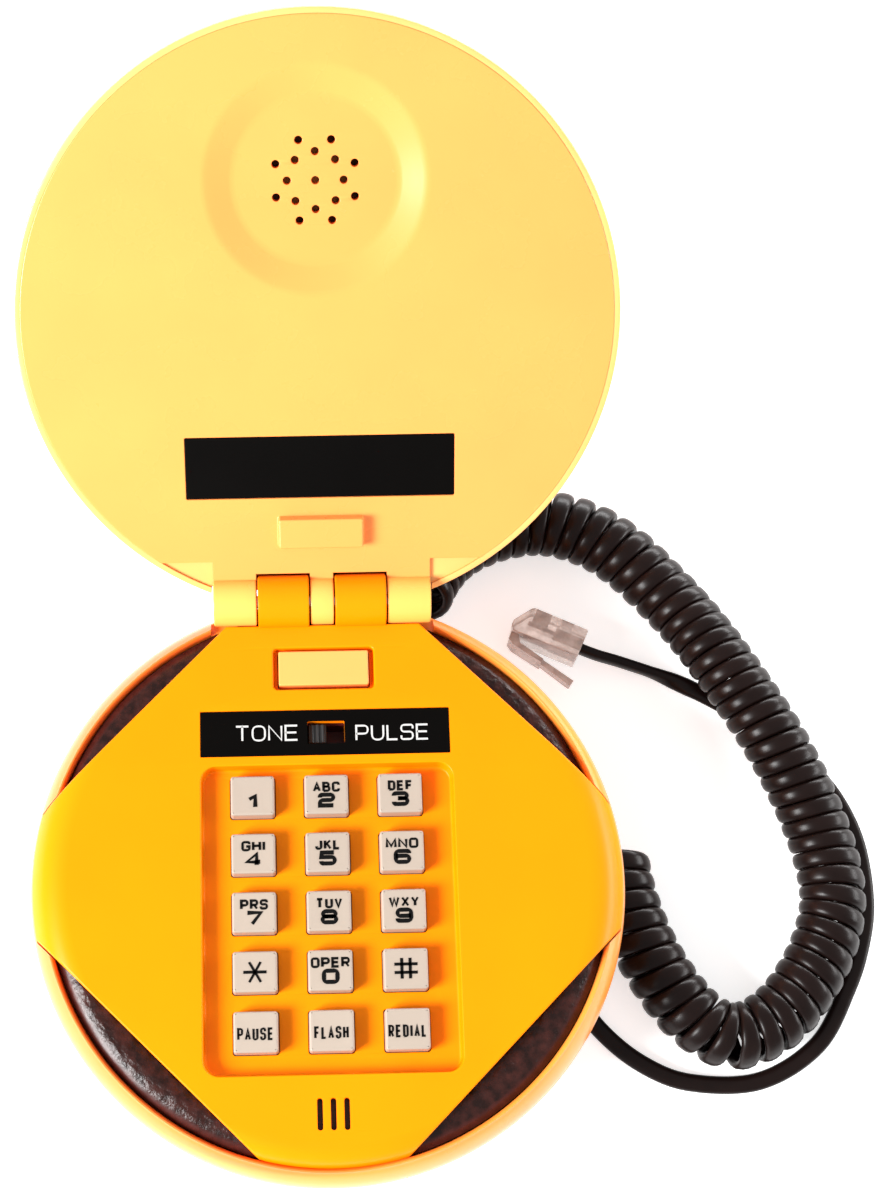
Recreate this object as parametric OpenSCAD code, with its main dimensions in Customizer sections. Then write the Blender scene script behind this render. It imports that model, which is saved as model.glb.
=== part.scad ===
// Novelty telephone shaped as a filled bun. It opens like a clam: the lower bun holds the
// keypad and the upper bun holds the receiver. Millimetres, +Z up, hinge towards +Y,
// origin under the centre of the lower bun, on the table. The lid is drawn open.

/* [Buns] */
// Widest radius of both bun halves
bun_r = 60.7; // [60:0.1:62]
// Height of the front panel's face above the table
face_h = 36; // [35.5:0.1:36.5]
// Height of the upper bun from its rim to its crown
dome_h = 42; // [38:1:46]
// Thickness of the moulded shells
wall = 2.4; // [2:0.1:2.8]
// Sesame seeds in the ring nearest the crown
seeds_in_first_ring = 5; // [4:1:6]

/* [Hinge] */
// Distance from the centre of the base to the hinge axis
hinge_y = 57.8; // [57.6:0.1:58.2]
// Radius of the hinge knuckles
knuckle_r = 4.7; // [4.3:0.1:4.8]
// Radius of the hinge pin
pin_r = 1.25; // [1:0.05:1.5]
// Angle of the open lid above the horizontal
lid_open = 35; // [32:1:45]

/* [Front panel] */
// Half width of the square panel across its flats
panel_half = 50.4; // [49.5:0.1:51]
// Thickness of the panel
panel_t = 2.2; // [1.8:0.1:2.4]
// Radius of the four patty windows' outer edge
patty_r = 57.2; // [56.8:0.1:57.3]
// Width of a microphone slot
mic_slot_w = 1.1; // [0.8:0.1:1.4]

/* [Keys] */
// Width of a key
key_w = 9.0; // [8.4:0.1:9.6]
// Depth of a key
key_d = 8.3; // [7.8:0.1:8.8]
// Pitch of the key columns
key_pitch_x = 15; // [14:0.1:15]
// Pitch of the key rows
key_pitch_y = 11.9; // [11.6:0.1:12]
// Travel of a key
key_travel = 1.3; // [0.8:0.1:1.4]
// Travel of the hook button
hook_travel = 2.5; // [2:0.1:2.6]

/* [Cord] */
// Outer radius of the coiled part
coil_r = 7.05; // [6:0.05:7.2]
// Radius of the plain part
cord_r = 1.3; // [1:0.05:1.4]

/* [Hidden] */
$fn = 72;
eps = 0.01;
run_gap = 0.05;   // a running fit on the hinge pin
part_gap = 0.3;   // between pieces that move past each other

// Base levels, measured up from the table
underside_z = 1;
pad_h = 1.5;
floor_z = underside_z + wall;
widest_z = 27;
lip_z = 33;
patty_seat_z = 28;
panel_under_z = face_h - panel_t;
well_floor_z = face_h - 3.4;
floor_t = 1.6;
board_z = 24;
board_t = 1.6;
board_top_z = board_z + board_t;

// Bun section: a broad flank below the widest line and a tight lip above it
flank_r = 28;
lip_r = 8;
lip_angle = asin((lip_z - widest_z) / lip_r);

// Square panel, its centre and the places cut into it
panel_y = 1.5;
corner_bend_r = 52.3;
side_bend = 8.2;
front_bend = 5;
side_skirt_z = 30.6;
pocket_z = 30.3;
keypad_size = [51.2, 62.3];
keypad_at = [0.2, -8];
first_row_y = 17;
key_top_z = face_h - 0.2;
key_flange_z = 29.4;
hook_well = [21, 10, 4.2];
hook_y = 43.3;
hook_size = [18.2, 8.3];
hook_top_z = face_h - 0.1;
hook_flange_z = 28.9;
switch_plate_size = [50.8, 9.4, 0.4];
switch_y = 29.9;
plate_sink = 0.4;
window_size = [7.6, 4.8];
slider_travel = 3.4;
slider_x = -1.5;
mic_y = -46.8;
mic_r = 4.85;

// Hinge: knuckle spans along X, outer two and middle on the lid, the other two on the base
hinge_z = face_h + 0.6;
hinge_half = 22.4;
lid_knuckles = [[-22.4, -13.5], [-2.4, 2.4], [13.5, 22.4]];
base_knuckles = [[-13.2, -2.7], [2.7, 13.2]];
clear_r = knuckle_r + 0.4;

// Lid levels, measured out from the hinge axis along the plate's face
lid_face = 0.3;
plate_t = 2.2;
plate_r = 59;
rim_r = 60.3;
lid_widest = -6;
shoulder_r = 24;
chord_v = 8.8;
ear_v = 85.5;
ear_floor_r = 16.3;
ear_rim_r = 21.6;
ear_depth = 2.5;
boss_v = 15.2;
boss_size = [17.3, 6.3, 2.6];
nameplate_v = 28.6;
nameplate_size = [54.5, 12.7, 0.4];

// The crown's arc meets the shoulder's arc where both have the same tangent
shoulder_x = bun_r - shoulder_r;
crown_gap = dome_h + lid_widest;
crown_r = (shoulder_x * shoulder_x + crown_gap * crown_gap - shoulder_r * shoulder_r)
    / (2 * (crown_gap - shoulder_r));
crown_w = crown_r - dome_h;
crown_angle = atan2(crown_w - lid_widest, shoulder_x);

// Screws and pegs
screw_xy = [29.5, 24];
board_screw_ys = [-42, 37];
board_screw_x = 21;
peg_xy = [20, -10];

// Cord: exit in the rear wall, the coil's middle line and the plain end's middle line
exit_angle = 72;
exit_z = 12.5;
exit_r = 56.6;
nose_l = 8;
coil_path = [
    [21.1, 64.9, 11.6], [22.9, 69.2, 9.9], [25.6, 73.9, 8.2], [29.6, 78.1, 7.3],
    [35, 81.2, 7.2], [42, 83.4, 7.2], [50.5, 84, 7.2], [59.6, 81.4, 7.2], [67.5, 76.2, 7.2],
    [75, 68.4, 7.2], [81.5, 59.8, 8.5], [87.2, 50.5, 9.9], [92.5, 41.5, 10.1],
    [97.5, 32.5, 9.9], [102.5, 22, 8.5], [106.5, 10.5, 7.2], [108, -1, 7.2], [105.5, -11, 7.2],
    [100, -20.5, 7.2], [93, -27.5, 7.2], [84.5, -30.5, 7.2], [77, -26.5, 7.2], [70.5, -18, 7.2],
    [65.8, -8, 7.2], [63, 2, 7.2], [62, 10.5, 7.2]
];
line_path = [
    [58.6, 9, 1.4], [55, 8.4, 1.4], [52.2, 6, 1.4], [50.6, 2, 1.4], [49.7, -3.5, 1.4],
    [50, -11, 1.4], [52, -19.5, 1.4], [57.5, -28, 1.4], [65.8, -35.2, 1.4], [75.9, -39.4, 1.4],
    [90.7, -39.4, 1.4], [103.6, -32, 1.4], [111, -20, 1.4], [114.6, -11, 1.4],
    [116.4, -2, 1.4], [115.9, 9, 1.4], [113.5, 17.5, 1.4], [108.9, 25.5, 1.4],
    [101.5, 33, 1.4], [93.8, 39.3, 1.4], [85.3, 44.6, 1.4], [75.2, 49.6, 1.6],
    [66.5, 52.6, 3.2], [61, 54, 4.5], [57.4, 55.4, 4.825]
];
plug_at = [57.4, 55.4];
plug_turn = 155;
plug_size = [16, 6.6, 9.65];

KEYS = [
    for (row = [0:4]) for (col = [0:2])
        [["1", "2", "3", "4", "5", "6", "7", "8", "9", "star", "0", "hash",
            "left", "middle", "right"][row * 3 + col], col, row]
];

// ---------------------------------------------------------------- shared forms

// Points of an arc round [cx, cy] from angle a0 to a1
function arc(cx, cy, r, a0, a1, n) =
    [for (i = [0:n]) [cx + r * cos(a0 + (a1 - a0) * i / n), cy + r * sin(a0 + (a1 - a0) * i / n)]];

function unit(v) = v / norm(v);

// Middle line of a cord: four cubic steps between each pair of route points
function spline_point(p, i, t) =
    let (n = len(p) - 1,
        a = p[max(i - 1, 0)], b = p[i], c = p[i + 1], d = p[min(i + 2, n)])
    0.5 * (2 * b + (c - a) * t + (2 * a - 5 * b + 4 * c - d) * t * t
        + (3 * b - a - 3 * c + d) * t * t * t);

function smooth_path(p, steps) = concat(
    [for (i = [0:len(p) - 2]) for (s = [0:steps - 1]) spline_point(p, i, s / steps)],
    [p[len(p) - 1]]
);

function tangent(p, i) = unit(p[min(i + 1, len(p) - 1)] - p[max(i - 1, 0)]);

// A round tube along a path that stays close to level
module tube(path, r, sides) {
    rings = [
        for (i = [0:len(path) - 1])
            let (t = tangent(path, i), across = unit(cross(t, [0, 0, 1])), up = cross(across, t))
            for (k = [0:sides - 1])
                path[i] + r * (across * cos(360 * k / sides) + up * sin(360 * k / sides))
    ];
    last = (len(path) - 1) * sides;
    sleeve = [
        for (i = [0:len(path) - 2]) for (k = [0:sides - 1])
            let (a = i * sides, n = (k + 1) % sides)
            [a + k, a + n, a + sides + n, a + sides + k]
    ];
    polyhedron(
        points = rings,
        faces = concat(
            [[for (k = [sides - 1:-1:0]) k]],
            sleeve,
            [[for (k = [0:sides - 1]) last + k]]
        ),
        convexity = 10
    );
}

module rounded_rect(size, r) {
    offset(r, $fn = 32) square([size[0] - 2 * r, size[1] - 2 * r], center = true);
}

module box_at(size, at) {
    translate(at) translate([-size[0] / 2, -size[1] / 2, 0]) cube(size);
}

module along_x(span, r) {
    translate([span[0], 0, 0]) rotate([0, 90, 0]) cylinder(r = r, h = span[1] - span[0]);
}

module mirrored_xy(xy) {
    for (sx = [-1, 1]) for (sy = [-1, 1]) translate([sx * xy[0], sy * xy[1], 0]) children();
}

// Lid pieces are drawn closed flat along +Y from the hinge axis, then swung open
module on_lid() {
    translate([0, hinge_y, hinge_z]) rotate([lid_open, 0, 0]) children();
}

module hinge_pin_bore(r) {
    along_x([-hinge_half - 1, hinge_half + 1], r);
}

// ---------------------------------------------------------------- lower bun

module bun_outline(inset) {
    low = asin((underside_z + inset - widest_z) / (flank_r - inset));
    polygon(concat(
        [[0, underside_z + inset]],
        arc(bun_r - flank_r, widest_z, flank_r - inset, low, 0, 9),
        arc(bun_r - lip_r, widest_z, lip_r - inset, lip_angle / 5, lip_angle, 4),
        [[0, widest_z + (lip_r - inset) * sin(lip_angle)]]
    ));
}

module square_prism(grow, z0, z1) {
    half = panel_half + grow;
    translate([0, panel_y, z0]) rotate(45) translate([-half, -half, 0])
        cube([2 * half, 2 * half, z1 - z0]);
}

module bun_ribs() {
    intersection() {
        rotate_extrude() bun_outline(wall / 2);
        for (a = [10, 35, 145, 170, 190, 215, 256, 284, 325, 350]) rotate(a)
            translate([51, -0.8, floor_z - eps]) cube([9, 1.6, patty_seat_z - floor_z + eps]);
    }
}

module exit_axis() {
    rotate(exit_angle) translate([exit_r, 0, exit_z]) rotate([0, 90, 0]) children();
}

module bottom_bun() {
    boss_r = 4.6;
    head_bore = [3.2, 7];
    color("#e9b765") difference() {
        union() {
            difference() {
                rotate_extrude() bun_outline(0);
                rotate_extrude() bun_outline(wall);
                translate([0, 0, patty_seat_z]) cylinder(r = patty_r + 0.2, h = 20);
            }
            mirrored_xy(screw_xy) translate([0, 0, underside_z]) cylinder(r = boss_r, h = 18.8);
            for (s = [-1, 1]) translate([s * peg_xy[0], peg_xy[1], floor_z - eps])
                cylinder(r = 2.5, h = 6);
            bun_ribs();
        }
        translate([0, 0, underside_z - 1]) cylinder(r = 33.3, h = pad_h - underside_z + 1);
        mirrored_xy(screw_xy) {
            cylinder(r = head_bore[0], h = head_bore[1]);
            cylinder(r = 1.7, h = 30);
        }
        // Pockets in the lip for the panel's drooping side corners
        for (s = [-1, 1]) intersection() {
            square_prism(part_gap, pocket_z, 40);
            translate([s * 60, 0, pocket_z]) translate([-24, -40, 0]) cube([48, 80, 10]);
        }
        // Gap for the hinge
        box_at([2 * hinge_half + 1.6, 12, 10], [0, 58, hinge_z - knuckle_r - 0.6]);
        exit_axis() translate([0, 0, -6]) cylinder(r = 3.2, h = 14);
    }
}

module foot_pad() {
    color("#3a3a3c") cylinder(r = 33, h = pad_h);
}

// Brown ring: a rounded outer bead and an inner face that rises under the panel
module patty() {
    bead_r = 3;
    inner_r = 46.5;
    bead_c = [patty_r - bead_r - 0.1, patty_seat_z + 2.6];
    color("#4a2a1c") difference() {
        rotate_extrude() polygon(concat(
            [[inner_r, patty_seat_z], [bead_c[0] + bead_r, patty_seat_z]],
            arc(bead_c[0], bead_c[1], bead_r, 0, 140, 8),
            [[inner_r, patty_seat_z + 5.2]]
        ));
        // Room for the panel's corners, which hang down outside the seat
        intersection() {
            square_prism(part_gap, pocket_z, 40);
            difference() {
                cylinder(r = 70, h = 40);
                cylinder(r = 51.4, h = 40);
            }
        }
        // Clear of what hangs below the panel: collar, bosses, both recesses and the hinge webs
        translate([0, mic_y, 20]) cylinder(r = mic_r + 1.9, h = 20);
        for (s = [-1, 1]) translate([s * board_screw_x, board_screw_ys[0], 20])
            cylinder(r = 2.7, h = 20);
        keypad_recess(floor_t + 0.4);
        box_at([hook_well[0] + 4, hook_well[1] + 4, 20], [0, hook_y, 20]);
        box_at([27, 12, 10], [0, 55.7, hinge_z - knuckle_r - 0.4]);
        // Clear of the lid's knuckles
        box_at([2 * hinge_half + 1.6, 12, 10], [0, 58.6, pocket_z]);
    }
}

// ---------------------------------------------------------------- front panel

// Half section of the panel: a flat plate whose edge bends down with the given outer radius
module panel_section(bend, skirt_z) {
    centre_z = face_h - bend;
    inner = bend - panel_t;
    foot_out = asin((skirt_z - centre_z) / bend);
    foot_in = asin(min((skirt_z - centre_z) / inner, 1));
    polygon(concat(
        [[0, panel_under_z], [0, face_h]],
        arc(corner_bend_r, centre_z, bend, 90, foot_out, 8),
        arc(corner_bend_r, centre_z, inner, foot_in, 90, 6)
    ));
}

module panel_plate() {
    intersection() {
        square_prism(0, 20, 40);
        union() {
            rotate_extrude() panel_section(front_bend, face_h - front_bend);
            // The rear corner stays flat as far as the hinge
            intersection() {
                translate([0, 0, panel_under_z]) cylinder(r = 56.6, h = panel_t);
                box_at([60, 20, 20], [0, 52, 20]);
            }
            intersection() {
                rotate_extrude() panel_section(side_bend, side_skirt_z);
                for (s = [-1, 1]) box_at([48, 80, 20], [s * 60, 0, 20]);
            }
        }
    }
}

module keypad_recess(grow) {
    translate([keypad_at[0], keypad_at[1], well_floor_z - (grow > 0 ? floor_t : 0)])
        linear_extrude(10) rounded_rect(keypad_size + [2 * grow, 2 * grow], 3.2 + grow);
}

module key_places() {
    for (k = KEYS) translate([(k[1] - 1) * key_pitch_x, first_row_y - k[2] * key_pitch_y, 0])
        children();
}

module front_panel() {
    key_slack = 0.25;
    well_under_z = face_h - hook_well[2] - floor_t;
    color("#ffbe0b") difference() {
        union() {
            difference() {
                panel_plate();
                box_at([100, 12, 30], [0, 58.8, 20]);
            }
            // Floor and walls of the two recesses
            intersection() {
                keypad_recess(floor_t);
                translate([0, 0, 20]) cylinder(r = 50, h = panel_under_z - 20 + eps);
            }
            box_at([hook_well[0] + 3, hook_well[1] + 3, panel_under_z - well_under_z + eps],
                [0, hook_y, well_under_z]);
            // Screw bosses, board bosses and the microphone's collar
            mirrored_xy(screw_xy) translate([0, 0, 20]) cylinder(r = 3.6, h = panel_under_z - 20);
            for (y = board_screw_ys) for (s = [-1, 1]) translate([s * board_screw_x, y, board_top_z])
                cylinder(r = 2.2, h = panel_under_z - board_top_z + eps);
            translate([0, mic_y, panel_under_z - 5.4]) cylinder(r = mic_r + 1.4, h = 5.4 + eps);
            // Hinge knuckles, each on a short web
            for (k = base_knuckles) {
                translate([0, hinge_y, hinge_z]) along_x(k, knuckle_r);
                translate([k[0], 50, hinge_z - knuckle_r]) cube([k[1] - k[0], hinge_y - 50, 4.1]);
            }
        }
        keypad_recess(0);
        key_places() box_at([key_w + 2 * key_slack, key_d + 2 * key_slack, 12], [0, 0, 26]);
        box_at([hook_well[0], hook_well[1], 10], [0, hook_y, face_h - hook_well[2]]);
        box_at([hook_size[0] + 0.6, hook_size[1] + 0.6, 20], [0, hook_y, 20]);
        box_at([switch_plate_size[0] + 0.2, switch_plate_size[1] + 0.2, 5],
            [0, switch_y, face_h - plate_sink]);
        box_at([window_size[0], window_size[1], 20], [0.2, switch_y, 20]);
        for (s = [-1:1]) box_at([mic_slot_w, 6.2, 20], [s * 2.65, mic_y, 26]);
        translate([0, mic_y, 20]) cylinder(r = mic_r, h = panel_under_z - 20);
        mirrored_xy(screw_xy) cylinder(r = 1.3, h = 31);
        for (y = board_screw_ys) for (s = [-1, 1]) translate([s * board_screw_x, y, 0])
            cylinder(r = 0.9, h = 31);
        translate([0, hinge_y, hinge_z]) hinge_pin_bore(pin_r);
    }
}

module switch_plate() {
    color("#121212") difference() {
        box_at(switch_plate_size, [0, switch_y, face_h - plate_sink]);
        box_at([window_size[0], window_size[1], 5], [0.2, switch_y, 33]);
    }
}

// Slide switch on the board, open at the top for its knob
module mode_switch() {
    h = 6.6;
    color("#6a1a14") difference() {
        box_at([11, 6.6, h], [0.2, switch_y, board_top_z]);
        box_at([8.4, 4.6, h], [0.2, switch_y, board_top_z + 1]);
    }
}

module mode_slider() {
    color("#2a2a2c") union() {
        box_at([3.6, 4, 7.6], [slider_x, switch_y, board_top_z + 1.4]);
        // Grip ridges across the knob's top
        for (i = [-1:1]) translate([slider_x + i * 1.1, switch_y - 2, board_top_z + 9])
            rotate([-90, 0, 0]) cylinder(r = 0.35, h = 4, $fn = 24);
    }
}

// ---------------------------------------------------------------- keys and hook

// One key: a bevelled cap on a square shank, held by a flange under the recess floor
module key(col, row) {
    bevel = 0.5;
    color("#e8d8c8")
    translate([(col - 1) * key_pitch_x, first_row_y - row * key_pitch_y, 0]) {
        difference() {
            union() {
                box_at([key_w, key_d, key_top_z - bevel - key_flange_z], [0, 0, key_flange_z]);
                hull() {
                    box_at([key_w, key_d, eps], [0, 0, key_top_z - bevel - eps]);
                    box_at([key_w - 2 * bevel, key_d - 2 * bevel, bevel],
                        [0, 0, key_top_z - bevel]);
                }
                box_at([key_w + 1.8, key_d + 1.8, 1.3], [0, 0, key_flange_z]);
            }
            box_at([key_w - 2.4, key_d - 2.4, 4.6], [0, 0, key_flange_z - eps]);
        }
        translate([0, 0, key_flange_z]) cylinder(r = 1.6, h = 4.7, $fn = 24);
    }
}

module hook_button() {
    bevel = 0.4;
    color("#f2dc8e") difference() {
        union() {
            box_at([hook_size[0], hook_size[1], hook_top_z - bevel - hook_flange_z],
                [0, hook_y, hook_flange_z]);
            hull() {
                box_at([hook_size[0], hook_size[1], eps], [0, hook_y, hook_top_z - bevel - eps]);
                box_at([hook_size[0] - 2 * bevel, hook_size[1] - 2 * bevel, bevel],
                    [0, hook_y, hook_top_z - bevel]);
            }
            box_at([hook_size[0] + 1.8, hook_size[1] + 1.8, 0.9], [0, hook_y, hook_flange_z]);
        }
        box_at([hook_size[0] - 3, hook_size[1] - 2.4, 5.4], [0, hook_y, hook_flange_z - eps]);
    }
}

// Coil spring that lifts the hook button
module hook_spring() {
    turns = 5;
    steps = 10;
    wire_r = 0.28;
    z0 = board_top_z + wire_r + 0.02;
    z1 = hook_flange_z + 5.4 - wire_r - 0.05;
    line = [
        for (i = [0:turns * steps])
            [2.1 * cos(360 * i / steps), 2.1 * sin(360 * i / steps),
                z0 + (z1 - z0) * i / (turns * steps)]
    ];
    color("silver") translate([-4.5, hook_y, 0]) tube(line, wire_r, 5);
}

module hook_switch() {
    color("#222226") union() {
        box_at([6.2, 4.8, 3.2], [3.6, hook_y, board_top_z]);
        translate([3.6, hook_y, board_top_z]) cylinder(r = 1.2, h = 4.6, $fn = 24);
    }
}

// ---------------------------------------------------------------- inside the base

module keypad_mat() {
    dome_gap = 0.2;
    color("#8d8f92") difference() {
        union() {
            translate([0, -6.8, board_top_z]) linear_extrude(0.9) rounded_rect([43, 60], 2);
            key_places() translate([0, 0, board_top_z])
                cylinder(r1 = 4, r2 = 2.6, h = key_flange_z - key_travel - dome_gap - board_top_z);
        }
        key_places() translate([0, 0, board_top_z - eps]) cylinder(r1 = 3.1, r2 = 1.8, h = 1.2);
    }
}

module main_board() {
    color("#3f7d3a") difference() {
        union() {
            box_at([48, 90, board_t], [0, 1, board_z]);
            // Parts on the underside: chip, two capacitors, coil
            box_at([18, 8, 2.2], [-9, 22, board_z - 2.2 + eps]);
            for (x = [10, 17]) translate([x, 26, board_z - 8]) cylinder(r = 2.6, h = 8 + eps);
            translate([-14, 36, board_z - 5]) cylinder(r = 3.4, h = 5 + eps);
        }
        for (y = board_screw_ys) for (s = [-1, 1]) translate([s * board_screw_x, y, board_z - 1])
            cylinder(r = 1.3, h = 4);
        // The far edge clears the microphone's collar
        translate([0, mic_y, board_z - 1]) cylinder(r = mic_r + 1.9, h = 5);
    }
}

// Pan head screw standing on its point: shank up from the head
module screw(head_r, head_h, shank_r, length) {
    difference() {
        union() {
            cylinder(r = head_r, h = head_h);
            cylinder(r = shank_r, h = head_h + length);
        }
        for (a = [0, 90]) rotate(a) box_at([head_r * 1.1, head_r * 0.28, head_h * 0.5], [0, 0, -eps]);
    }
}

module board_screws() {
    color("silver") for (y = board_screw_ys) for (s = [-1, 1])
        translate([s * board_screw_x, y, board_z - 1.2]) screw(1.9, 1.2, 0.9, 6.4);
}

module case_screws() {
    color("silver") mirrored_xy(screw_xy) translate([0, 0, 4.8]) screw(2.9, 2.2, 1.3, 21);
}

module microphone() {
    z = panel_under_z - 4.6;
    color("#c9c9cc") union() {
        translate([0, mic_y, z]) cylinder(r = mic_r, h = 4.5);
        for (s = [-1, 1]) translate([s * 1.4, mic_y, z - 1.6]) cylinder(r = 0.35, h = 1.7, $fn = 16);
    }
}

module ringer() {
    color("#1b1b1d") difference() {
        translate([0, -14, board_z - 6.6]) cylinder(r = 12, h = 6.6);
        translate([0, -14, board_z - 7]) cylinder(r = 1.6, h = 3);
    }
}

module ballast_weight() {
    color("#8a8a8e") difference() {
        translate([0, -8, floor_z]) linear_extrude(6) rounded_rect([48, 46], 4);
        for (s = [-1, 1]) translate([s * peg_xy[0], peg_xy[1], 0]) cylinder(r = 2.6, h = 20);
    }
}

module hinge_pin() {
    color("silver") translate([0, hinge_y, hinge_z]) along_x([-hinge_half, hinge_half], pin_r);
}

// ---------------------------------------------------------------- lid

// Half section of the domed shell, offset inwards by inset
module dome_outline(inset) {
    rim = rim_r - inset;
    start = -asin((crown_w - lid_widest) / (crown_r - shoulder_r));
    polygon(concat(
        [[0, 1], [rim, 1], [rim, 0]],
        arc(shoulder_x, lid_widest, shoulder_r - inset, 4, -crown_angle, 9),
        arc(0, crown_w, crown_r - inset, start + (-90 - start) / 8, -90, 7)
    ));
}

module lid_centre() {
    translate([0, hinge_y, 0]) children();
}

module bun_top() {
    color("#f0c777") on_lid() difference() {
        union() {
            difference() {
                lid_centre() intersection() {
                    rotate_extrude() dome_outline(0);
                    translate([0, 0, -60]) cylinder(r = 70, h = 60 + lid_face - 0.2);
                }
                lid_centre() rotate_extrude() dome_outline(wall);
                lid_centre() translate([0, 0, lid_face - plate_t - 0.1])
                    cylinder(r = plate_r + 0.1, h = 5);
            }
            // Seats under the plate's edge, and the two ledges beside the hinge
            lid_centre() intersection() {
                rotate_extrude() dome_outline(wall / 2);
                for (a = [-60:30:240]) rotate(a)
                    translate([53.5, -0.8, -14]) cube([8, 1.6, 14 + lid_face - plate_t - 0.1]);
            }
            intersection() {
                lid_centre() rotate_extrude() dome_outline(wall / 2);
                for (s = [-1, 1]) box_at([11, 10, 2], [s * 28.6, 3.7, -4.4]);
            }
        }
        // Rear gap for the knuckles
        translate([-hinge_half - 0.4, -8, -11]) cube([2 * hinge_half + 0.8, 13.3, 14]);
    }
}

// One seed: a flattened drop lying along +X, blunt at one end
module seed() {
    hull() {
        translate([0.5, 0, 0]) scale([1.25, 1, 0.62]) sphere(r = 1.15, $fn = 8);
        translate([-1.5, 0, 0]) scale([1, 1, 0.8]) sphere(r = 0.45, $fn = 5);
    }
}

// Seeds stand in rings round the crown, a little sunk in the shell
module sesame_seeds() {
    rings = [[10, 0], [20, 1], [29, 2], [37, 3]];
    color("#f7e7bd") on_lid() lid_centre()
    for (ring = rings) let (count = seeds_in_first_ring + 4 * ring[1]) for (k = [0:count - 1])
        let (around = 360 * k / count + 37 * ring[1], lean = asin(ring[0] / crown_r))
            rotate(around) translate([0, 0, crown_w]) rotate([0, -lean, 0])
                translate([0, 0, -crown_r - 0.25]) rotate(61 * k + 23 * ring[1]) seed();
}

module ear_holes() {
    translate([0, ear_v, -6]) {
        cylinder(r = 0.8, h = 8, $fn = 24);
        for (k = [0:7]) {
            rotate(45 * k) translate([5.55, 0, 0]) cylinder(r = 0.8, h = 8, $fn = 24);
            rotate(45 * k + 22.5) translate([8.35, 0, 0]) cylinder(r = 0.8, h = 8, $fn = 24);
        }
    }
}

module lid_plate() {
    bottom = lid_face - plate_t;
    web_d = 4.7;
    post_h = 9.4;
    color("#fbe58f") on_lid() difference() {
        union() {
            // Disc with a straight rear edge, and the tab that reaches the hinge
            intersection() {
                lid_centre() translate([0, 0, bottom]) cylinder(r = plate_r, h = plate_t);
                translate([-70, chord_v, -10]) cube([140, 130, 20]);
            }
            translate([-hinge_half, 0, lid_face - web_d]) cube([2 * hinge_half, 12, web_d]);
            for (k = lid_knuckles) along_x(k, knuckle_r);
            // Back of the earpiece dish, with the receiver's collar and the clamp's posts
            translate([0, ear_v, bottom - ear_depth])
                cylinder(r1 = ear_floor_r + 2, r2 = ear_rim_r + 2, h = ear_depth + eps);
            translate([0, ear_v, bottom - ear_depth - 4]) cylinder(r = 17.2, h = 4 + eps);
            for (s = [-1, 1]) translate([s * 21, ear_v, bottom - post_h])
                cylinder(r = 2.6, h = post_h + eps);
            translate([0, boss_v, lid_face - eps]) box_at(boss_size, [0, 0, 0]);
        }
        translate([0, ear_v, lid_face - ear_depth])
            cylinder(r1 = ear_floor_r, r2 = ear_rim_r + eps, h = ear_depth + eps);
        ear_holes();
        translate([0, ear_v, bottom - ear_depth - 10]) cylinder(r = 15.2, h = 10);
        for (s = [-1, 1]) translate([s * 21, ear_v, bottom - post_h - 1]) cylinder(r = 0.9, h = 7);
        box_at([nameplate_size[0] + 0.2, nameplate_size[1] + 0.2, 3],
            [0, nameplate_v, lid_face - plate_sink]);
        // Room for the base's knuckles
        for (k = base_knuckles) {
            along_x([k[0] - part_gap, k[1] + part_gap], clear_r);
            translate([k[0] - part_gap, -6, -8]) cube([k[1] - k[0] + 2 * part_gap, 6 + clear_r, 12]);
        }
        hinge_pin_bore(pin_r + run_gap);
    }
}

module lid_nameplate() {
    color("#101010") on_lid() box_at(nameplate_size, [0, nameplate_v, lid_face - plate_sink]);
}

module receiver_capsule() {
    top = lid_face - plate_t - ear_depth - 0.2;
    color("#b9ad7a") on_lid() union() {
        translate([0, ear_v, top - 5]) cylinder(r = 15, h = 5);
        translate([0, ear_v, top - 6.7]) cylinder(r = 9, h = 1.8);
    }
}

// Bridge over the receiver's magnet, screwed to two posts
module receiver_clamp() {
    post_top = lid_face - plate_t - 9.4;
    color("#d8d8d4") on_lid() difference() {
        translate([0, ear_v, post_top - 1.8]) linear_extrude(1.8) difference() {
            rounded_rect([48, 11], 4);
            for (s = [-1, 1]) translate([s * 21, 0]) circle(r = 1.1, $fn = 24);
        }
        translate([0, ear_v, post_top - 3]) cylinder(r = 4, h = 5);
    }
}

// ---------------------------------------------------------------- cord

// Strain relief: a flange inside the wall, a neck through it and a ribbed tapering nose
module cord_grommet() {
    neck_r = 3.1;
    tip_r = 2.3;
    color("#1d1714") exit_axis() rotate_extrude() polygon([
        [0, -7.9], [4, -7.9], [4, -6.5], [neck_r, -6.5], [neck_r, 1.8], [4, 2.2], [4, 3],
        [3.2, 3.4], [3.2, 4], [3.7, 4.4], [3.7, 5], [2.8, 5.4], [2.8, 6], [3.2, 6.4],
        [3.2, 7], [tip_r, 7.4], [tip_r, nose_l], [0, nose_l]
    ]);
}

function exit_point(d) =
    [(exit_r + d) * cos(exit_angle), (exit_r + d) * sin(exit_angle), exit_z];

module cord_lead() {
    color("#1d1512") tube([exit_point(nose_l), exit_point(nose_l + 1.4), coil_path[0]], cord_r, 8);
}

module coiled_cord() {
    color("#1d1512") tube(smooth_path(coil_path, 2), coil_r, 12);
}

module line_cord() {
    color("#1d1512") tube(smooth_path(line_path, 3), cord_r, 8);
}

// Modular plug on its side: body with a chamfered nose, a wire window and a springy latch
module plug_frame() {
    translate([plug_at[0], plug_at[1], plug_size[2] / 2]) rotate(plug_turn) children();
}

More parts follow.
